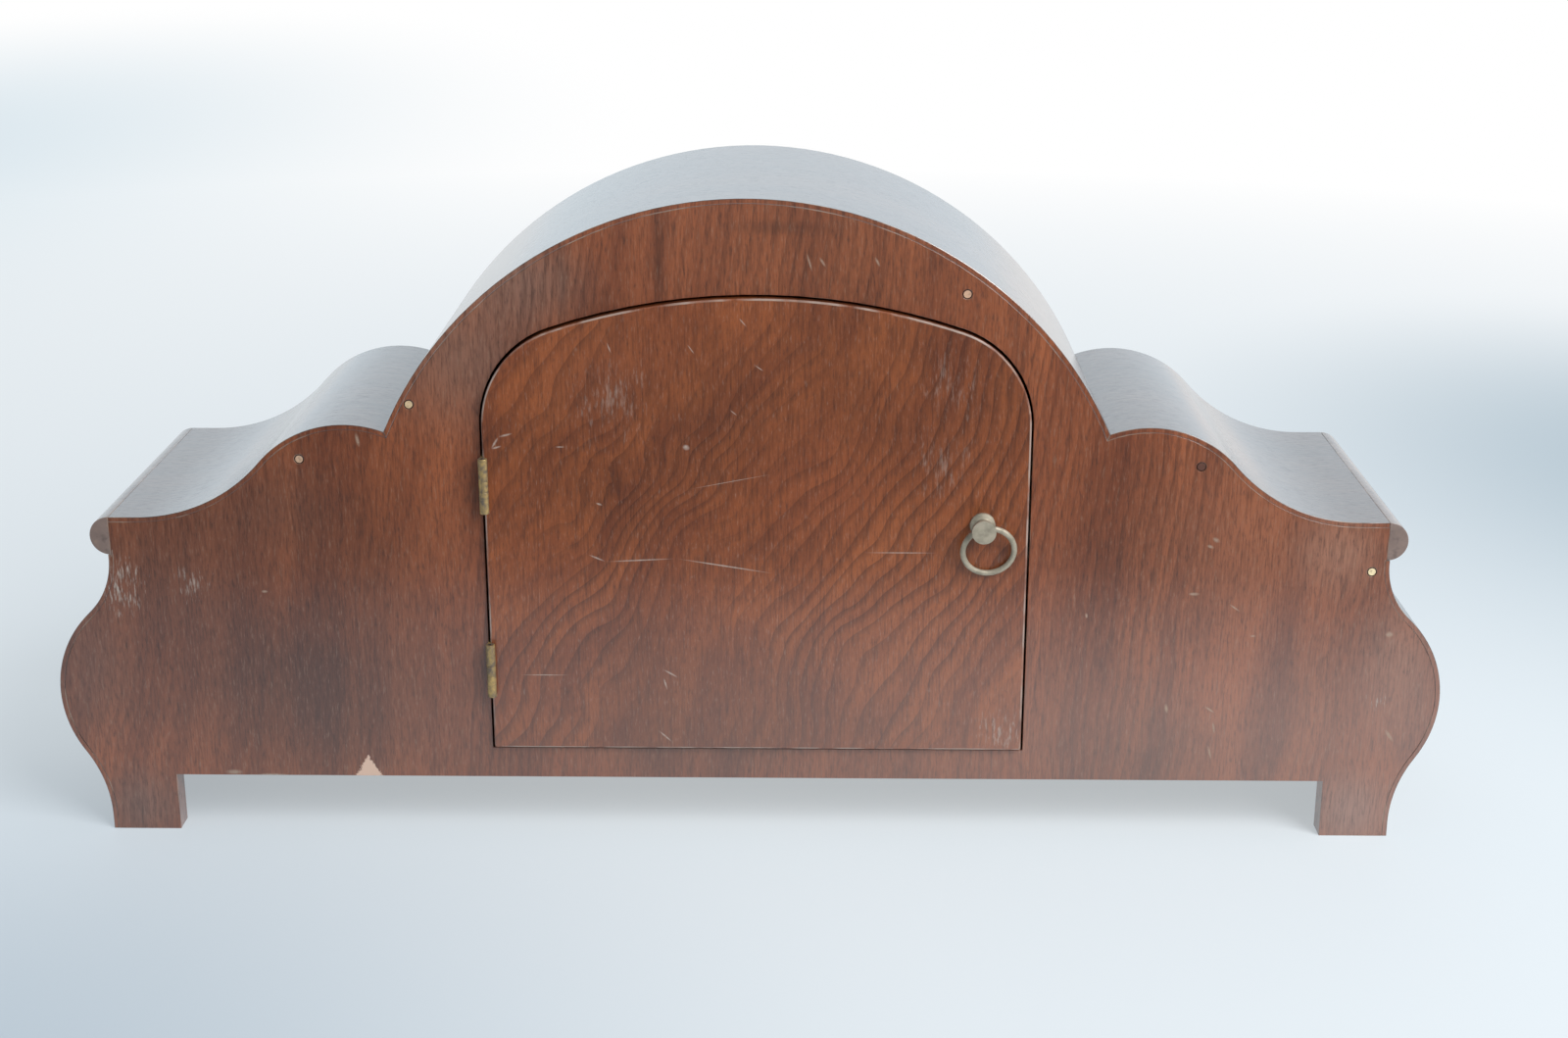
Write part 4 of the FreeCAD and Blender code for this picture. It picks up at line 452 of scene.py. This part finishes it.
# Walnut veneer on the panels: upright brown bands with fine dark lines and a satin polish.
# Painted shade and sheen in the patches: the big dark patch at (175, 62) and the dark greyed patches beside
# it on the left, as seen from the back, are painted shade where that side gets less light. The pale grey
# patches at the far right are painted sheen from the lamp on the right.
panel_walnut = walnut(
    "panel_walnut_veneer", "#311b15", "#773f27", "#9e5834", slant=7.0, line=4.2, wander=26.0, contrast=0.36,
    patches=((175.0, 62.0, 90.0, 75.0, "#3a2722", 0.6), (-20.0, 245.0, 95.0, 40.0, "#9a5a38", 0.35),
             (-200.0, 132.0, 66.0, 60.0, "#a7694c", 0.45), (70.0, 232.0, 4.0, 30.0, "#3a211a", 0.5),
             (33.0, 240.0, 3.5, 34.0, "#3a211a", 0.55), (-15.0, 253.0, 32.0, 4.0, "#4a2a1f", 0.4),
             (150.0, 120.0, 50.0, 60.0, "#56301f", 0.4), (266.0, 76.0, 26.0, 50.0, "#5a4a44", 0.4),
             (238.0, 118.0, 58.0, 50.0, "#5c4238", 0.5), (110.0, 203.0, 50.0, 46.0, "#7e685d", 0.52),
             (190.0, 140.0, 50.0, 36.0, "#57423a", 0.45), (84.0, 232.0, 36.0, 26.0, "#8d776b", 0.42),
             (-236.0, 124.0, 28.0, 26.0, "#a98573", 0.40), (250.0, 10.0, 26.0, 26.0, "#6c5d57", 0.5),
             (-248.0, 10.0, 26.0, 26.0, "#957f76", 0.5), (-263.0, 78.0, 26.0, 50.0, "#916f60", 0.4)),
    bloom_and_sheen=0.26, chips=((155.9, 24.4, 5.6, 9.4),),
    scuffs=((250.6, 112.0, 22.0, 0.9), (251.8, 102.0, 20.0, 0.9), (222.0, 108.0, 17.0, 0.6),
            (-255.0, 60.0, 10.0, 0.6)),
    marks=((-24.6, 239.6, 8.2, 1.0, 74.0), (-29.6, 239.7, 5.0, 1.2, 57.0), (-50.5, 239.9, 4.4, 1.2, 63.0),
           (-186.0, 128.6, 3.6, 2.2, 30.0), (-189.6, 48.0, 6.0, 1.2, 80.0), (-188.6, 37.0, 7.0, 1.2, 75.0),
           (193.5, 105.0, 3.0, 1.4, 0.0), (152.5, 168.5, 6.4, 1.8, 80.0), (211.7, 25.8, 8.0, 2.6, 0.0),
           (196.0, 24.8, 14.0, 1.2, 0.0), (-183.8, 125.8, 3.4, 1.6, 20.0), (-178.5, 105.8, 5.0, 1.6, 0.0),
           (-195.0, 100.0, 5.6, 0.9, 35.0), (-136.0, 96.4, 2.6, 1.2, 80.0), (-187.5, 56.0, 5.4, 1.2, 35.0),
           (-170.0, 56.4, 5.0, 1.8, 80.0), (-257.5, 89.0, 3.6, 3.0, 0.0), (-261.0, 45.0, 7.0, 1.9, 55.0),
           (-203.0, 88.0, 2.6, 1.1, 0.0)))
softened("back_panel", PANEL_EDGE, 2, [panel_walnut], "case")

# Walnut veneer on the front: the same tree, with livelier figure and a better kept polish.
front_walnut = walnut("front_walnut_veneer", "#311b15", "#693723", "#975531", slant=-5.0, wander=34.0,
                      contrast=0.45)
softened("front_panel", PANEL_EDGE, 2, [front_walnut], "case")

# Panel pegs: short dowels of a pale wood, driven through the panel into the blocks behind and cut flush.
# Polish and age have turned each a different tone, and one at the neck is a bright later plug.
# Each tone holds from its own place along the panel on, seen from the back from right to left.
RIGHT_PEG = "#ead6aa"
PEG_TONES = ((-0.215, "#5a3629"), (-0.130, "#c9a184"), (0.020, "#ccb18a"), (0.155, "#c09e82"))
PEG_MOTTLE = "#6b4432"
PEG_RING = "#432a20"
MOTTLE_WIDTH = 1.2
PEG_EDGE = 0.0004

# End grain of a dowel: a flat, dull disc of cream wood, mottled brown, in a dark ring of old polish.
peg_wood, tree, shader = start_material("pale_dowel_end")
place = add(tree, "TexCoord").node.outputs["Object"]
along = add(tree, "SeparateXYZ", {0: place}).node.outputs["X"]
colour = tint(RIGHT_PEG)
for start, tone in PEG_TONES:
    past = add(tree, "Math", {0: along, 1: start}, operation="GREATER_THAN")
    colour = add(tree, "MixRGB", {"Fac": past, "Color1": colour, "Color2": tint(tone)})
mottle = add(tree, "TexNoise", {"Vector": place, "Scale": 1000.0 / MOTTLE_WIDTH, "Detail": 2.0})
mottle = add(tree, "MapRange", {"Value": mottle, "From Min": 0.50, "From Max": 0.75, "To Max": 0.6})
colour = add(tree, "MixRGB", {"Fac": mottle, "Color1": colour, "Color2": tint(PEG_MOTTLE)})
rim = add(tree, "Attribute", attribute_name="rounded_strip").node.outputs["Fac"]
colour = add(tree, "MixRGB", {"Fac": rim, "Color1": colour, "Color2": tint(PEG_RING)})
tree.links.new(colour, shader.inputs["Base Color"])
shader.inputs["Roughness"].default_value = 0.55
softened("panel_pegs", PEG_EDGE, 1, [peg_wood], "case")

# Bent skins over the arch, shoulders and sides: thin walnut plies bent over the panels' edges and glued.
# They carry the thickest polish of the case and mirror the pale room, above all the arch.
SKIN_EDGE = 0.00022
ALONG_BEND = (0.04, 1.0, 0.04)

# Polished walnut skin: dark brown with streaks along the bend under a deep, glassy coat.
arch_walnut = walnut("arch_walnut_skin", "#2c1d18", "#4f3327", "#634331", fine=ALONG_BEND, line=7.0,
                     contrast=0.4, coat_ior=2.6)
skin_walnut = walnut("shoulder_walnut_skin", "#2c1d18", "#4a2f24", "#5c3d2d", fine=ALONG_BEND, line=7.0,
                     contrast=0.4, coat_ior=2.0)
softened("arch_skin", SKIN_EDGE, 2, [arch_walnut, panel_walnut, front_walnut], "case")
for node in ("right_shoulder_skin", "left_shoulder_skin", "right_side_skin", "left_side_skin"):
    softened(node, SKIN_EDGE, 2, [skin_walnut, panel_walnut, front_walnut], "case")

# Ear mouldings: half-round walnut strips that cover the ends of the skins where the shoulders stop.
# They are planed from the solid and glued on, and hands have worn most of their polish away.

# Worn walnut: grey-brown and duller than the skins beside it.
ear_walnut = walnut("ear_walnut_moulding", "#3a2f2b", "#7c6860", "#957f75", fine=(0.3, 1.0, 0.3),
                    contrast=0.3, rough=0.4)
for node in ("right_ear_moulding", "left_ear_moulding"):
    softened(node, SKIN_EDGE, 2, [ear_walnut], "case")

# Back door: a board 12.5 mm thick with rounded top corners, veneered with a livelier sheet of walnut.
# It stands 2.5 mm proud of the panel; its edge is rounded over, and the pale on it is partly polish rubbed
# away by hands and partly a painted highlight along the rounded edge.
DOOR_EDGE = 0.0012

# Figured walnut: slanting flame lines that bend round a small burl, dulled by haze, with old scratches; low
# down the haze is partly bloom and partly painted sheen.
door_walnut = walnut(
    "door_figured_walnut", "#321a14", "#7a3f23", "#9c552c", fine=(1.0, 1.0, 0.14), slant=32.0, line=6.5,
    wander=50.0, swell=80.0, contrast=0.50, burls=((50.0, 150.0, 60.0, 60.0),),
    patches=((48.0, 148.0, 46.0, 34.0, "#4a2619", 0.30), (10.0, 180.0, 50.0, 45.0, "#4a281d", 0.35),
             (-58.0, 122.0, 45.0, 45.0, "#9c5730", 0.55), (60.0, 195.0, 45.0, 35.0, "#9a5836", 0.35),
             (-30.0, 150.0, 40.0, 40.0, "#965131", 0.35)), bloom_and_sheen=0.22,
    scuffs=((-103.0, 46.0, 22.0, 0.6), (52.0, 185.0, 34.0, 0.36), (-80.0, 192.0, 32.0, 0.28),
            (-76.0, 160.0, 30.0, 0.28)), wear_and_highlight="#ad988b", rub_and_highlight=0.38,
    marks=((59.4, 120.7, 7.4, 0.9, 23.0), (42.0, 119.9, 28.2, 0.8, -3.0), (8.5, 117.6, 39.4, 0.8, 9.0),
           (-61.0, 123.5, 30.0, 0.6, 0.0), (30.8, 71.5, 6.9, 1.0, 30.0), (33.0, 67.0, 5.7, 0.9, 75.0),
           (81.7, 70.6, 20.7, 0.5, 0.0), (33.4, 44.0, 7.6, 0.9, 43.0), (98.2, 168.1, 5.6, 1.1, -59.0),
           (93.9, 171.3, 6.0, 1.1, -15.0), (97.6, 166.3, 4.4, 1.0, -16.0), (6.0, 152.7, 35.0, 0.35, -11.0),
           (23.3, 166.6, 3.2, 2.6, 20.0), (52.6, 206.4, 5.0, 0.6, 70.0), (21.0, 206.0, 5.0, 0.6, 55.0),
           (0.9, 216.6, 4.6, 0.7, 50.0), (-5.3, 198.6, 4.4, 0.6, 35.0), (4.7, 180.7, 3.6, 0.6, 40.0),
           (58.0, 143.2, 3.0, 1.0, 20.0), (72.7, 166.6, 4.0, 0.7, 0.0)))
softened("back_door", DOOR_EDGE, 3, [door_walnut], "door")

# Hinges: two small butt hinges of pressed sheet brass that turn on steel pins.
# One leaf of each is fixed to the edge of the panel's opening, the other to the edge of the door.
HINGE_EDGE = 0.0002


def metal(name, bright, dull, spots, roughness, tarnish=0.5, bare=1.0):
    """A metal whose tone and gloss change from bright to dull in spots of a size in mm.

    bare is the share that shows metal and not tarnish."""
    material, tree, shader = start_material(name)
    place = add(tree, "TexCoord").node.outputs["Object"]
    cloud = add(tree, "TexNoise", {"Vector": place, "Scale": 1000.0 / spots, "Detail": 4.0,
                                   "Roughness": 0.6})
    cloud = add(tree, "MapRange", {"Value": cloud, "From Min": 0.35, "From Max": 0.65, "To Max": tarnish})
    colour = add(tree, "MixRGB", {"Fac": cloud, "Color1": tint(bright), "Color2": tint(dull)})
    tree.links.new(colour, shader.inputs["Base Color"])
    gloss = add(tree, "MapRange", {"Value": cloud, "To Min": roughness, "To Max": roughness + 0.2})
    tree.links.new(gloss, shader.inputs["Roughness"])
    shader.inputs["Metallic"].default_value = bare
    return material


# Aged brass: dull golden brown, darker in spots about 3 mm wide where fingers never rub.
aged_brass = metal("aged_brass", "#bd9f66", "#73675b", 2.6, 0.38, 1.0, bare=0.45)
for node, body in (("case_hinge_leaves", "case"), ("door_hinge_leaves", "door")):
    softened(node, HINGE_EDGE, 2, [aged_brass], body)

# Mild steel: grey, drawn and left plain.
steel = metal("plain_steel", "#b4b6b8", "#7b7c7e", 8.0, 0.32)
paint(steel, "hinge_pins", "latch_tongue", "latch_nut")

# Latch: a turned brass knob with a loose ring through it; behind the door it carries a steel tongue.
# Knob and ring are greyed by handling and old polish, and so is the brass keep that the door shuts against.
KNOB_EDGE = 0.00035

# Greyed brass: grey-green tarnish over yellow metal, satin.
greyed_brass = metal("greyed_brass", "#b9ae9a", "#8a8474", 4.0, 0.45, 0.8, bare=0.4)
softened("latch_knob", KNOB_EDGE, 2, [greyed_brass], "latch")
paint(greyed_brass, "ring_pull", "latch_keep")

# Dial: a thin brass sheet, silvered, pinned to the front panel behind the glass.
# Twelve plain figures and a minute track between two thin rails are printed on it.
dial_low, dial_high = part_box("dial")
DIAL_CENTRE = Vector((0.0, dial_low.y, (dial_low.z + dial_high.z) / 2))
SILVER = "#dcd7ca"
SILVER_PALE = "#e6e2d6"
BRUSH_SPACING = 0.0012
FIGURE_RADIUS = 0.0600
FIGURE_HEIGHT = 0.0150
LETTER_PER_FIGURE = 1.35
TRACK_RADIUS = 0.0712
HOUR_BAR = 0.0012
MINUTE_BAR = 0.0005
BAR_LENGTH = 0.0026
RAIL_WIDTH = 0.0003
RAIL_STEPS = 120
INK_DEPTH = 0.00006
ENAMEL = "#1b1a1a"

# Silvered brass: pale, warm grey and satin, with faint brush rings, drawn coarse enough to show.
silvered, tree, shader = start_material("silvered_brass")
place = add(tree, "TexCoord").node.outputs["Object"]
local = add(tree, "VectorMath", {0: place, 1: DIAL_CENTRE}, operation="SUBTRACT")
rings = add(tree, "TexWave", {"Vector": local, "Scale": pi / 10 / BRUSH_SPACING, "Distortion": 0.6},
            wave_type="RINGS", rings_direction="Y")
colour = add(tree, "MixRGB", {"Fac": rings, "Color1": tint(SILVER), "Color2": tint(SILVER_PALE)})
tree.links.new(colour, shader.inputs["Base Color"])
shader.inputs["Metallic"].default_value = 0.35
shader.inputs["Roughness"].default_value = 0.42
paint(silvered, "dial")

# Dial ink: flat black enamel, a hair thick.
ink, tree, shader = start_material("black_dial_enamel")
shader.inputs["Base Color"].default_value = tint(ENAMEL)
shader.inputs["Roughness"].default_value = 0.5
bm = bmesh.new()
for hour in range(1, 13):
    turn = radians(30.0 * hour)
    letters = bpy.data.curves.new("figure", "FONT")
    letters.body = str(hour)
    letters.size = FIGURE_HEIGHT * LETTER_PER_FIGURE
    letters.extrude = INK_DEPTH / 2
    letters.align_x = "CENTER"
    letters.align_y = "CENTER"
    carrier = bpy.data.objects.new("figure", letters)
    scene.collection.objects.link(carrier)
    graph = bpy.context.evaluated_depsgraph_get()
    drawn = bpy.data.meshes.new_from_object(carrier.evaluated_get(graph))
    bpy.data.objects.remove(carrier)
    spot = DIAL_CENTRE + Vector((FIGURE_RADIUS * sin(turn), -INK_DEPTH / 2, FIGURE_RADIUS * cos(turn)))
    drawn.transform(Matrix.Translation(spot) @ Matrix.Rotation(radians(90.0), 4, "X"))
    bm.from_mesh(drawn)
for minute in range(60):
    width = HOUR_BAR if minute % 5 == 0 else MINUTE_BAR
    bar = bmesh.ops.create_cube(bm, size=1.0)["verts"]
    bmesh.ops.scale(bm, vec=(width, INK_DEPTH, BAR_LENGTH), verts=bar)
    bmesh.ops.translate(bm, vec=(0.0, -INK_DEPTH / 2, TRACK_RADIUS), verts=bar)
    bmesh.ops.rotate(bm, matrix=Matrix.Rotation(radians(6.0 * minute), 3, "Y"), verts=bar)
    bmesh.ops.translate(bm, vec=DIAL_CENTRE, verts=bar)
for radius in (TRACK_RADIUS - BAR_LENGTH / 2, TRACK_RADIUS + BAR_LENGTH / 2):
    corners = []
    for y, z in ((0.0, 0.0), (-INK_DEPTH, 0.0), (-INK_DEPTH, RAIL_WIDTH), (0.0, RAIL_WIDTH)):
        corners.append(bm.verts.new(DIAL_CENTRE + Vector((0.0, y, radius - RAIL_WIDTH / 2 + z))))
    loop = [bm.edges.new((corners[i - 1], corners[i])) for i in range(4)]
    bmesh.ops.spin(bm, geom=corners + loop, cent=DIAL_CENTRE, axis=(0.0, 1.0, 0.0), angle=2 * pi,
                   steps=RAIL_STEPS, use_merge=True)
bmesh.ops.recalc_face_normals(bm, faces=bm.faces)
figures = make_piece("dial_figures", bm, ink)
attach(figures, "case")

# Bezel: a spun brass ring that holds a bowed glass over the dial.
# It is hinged on a small brass bracket on the front panel, so that the hands can be set.
BEZEL_EDGE = 0.0005
GLASS_TINT = "#fbfffd"

# Lacquered brass: warm yellow, polished and still bright.
bright_brass = metal("lacquered_brass", "#d6b36a", "#b08c4c", 26.0, 0.24, 0.3)
softened("bezel_ring", BEZEL_EDGE, 3, [bright_brass], "bezel")
paint(bright_brass, "bezel_bracket")

# Window glass: clear, with a faint edge tint.
glass, tree, shader = start_material("bowed_window_glass")
shader.inputs["Base Color"].default_value = tint(GLASS_TINT)
shader.inputs["Transmission Weight"].default_value = 1.0
shader.inputs["Roughness"].default_value = 0.02
shader.inputs["IOR"].default_value = 1.5
paint(glass, "bezel_glass")

# Movement: two brass plates on turned pillars with nuts, screwed to the front panel from behind.
# Barrels, wheels and fly are cut brass; winding arbors, clicks, springs, anchor and hammer are steel.

# Rolled brass: plain yellow, a little brown where it has not been touched for years.
movement_brass = metal("rolled_clock_brass", "#c9a965", "#94763f", 30.0, 0.34, 0.35)
paint(movement_brass, "front_plate", "back_plate", "plate_pillars", "pillar_nuts", "suspension_cock",
      "centre_arbor", "minute_wheel", "hour_wheel", "second_wheel", "third_wheel", "escape_wheel",
      "time_barrel", "strike_barrel", "pin_wheel", "warning_wheel", "fly")
paint(steel, "movement_screws", "time_winding_arbor", "strike_winding_arbor", "time_click", "strike_click",
      "time_mainspring", "strike_mainspring", "anchor", "hammer")

# Hands: sheet steel, sawn out and heated until they turn blue.
# The hour hand grips the hour wheel's pipe, and a brass nut holds the minute hand on the centre arbor.

# Blued steel: nearly black with a cold, even sheen.
blued = metal("blued_steel", "#20232d", "#14161c", 6.0, 0.3)
paint(blued, "hour_hand", "minute_hand")
paint(bright_brass, "hand_nut")

# Gong: two steel rods in a cast iron block, which is bolted up through the base board.
# The hammer falls on the rods, and the case carries the sound.

# Japanned iron: black, rough and dull.
iron = metal("japanned_cast_iron", "#3b3a3a", "#262525", 2.0, 0.6)
paint(iron, "gong_block")
paint(steel, "gong_rods", "gong_bolts")

# Pendulum: a lens-shaped brass bob on a steel rod, hung from a thin spring behind the movement.
# The rating nut below the bob lifts or lowers it, which sets the clock's pace.
paint(steel, "suspension_spring", "pendulum_rod")
paint(bright_brass, "pendulum_bob", "rating_nut")
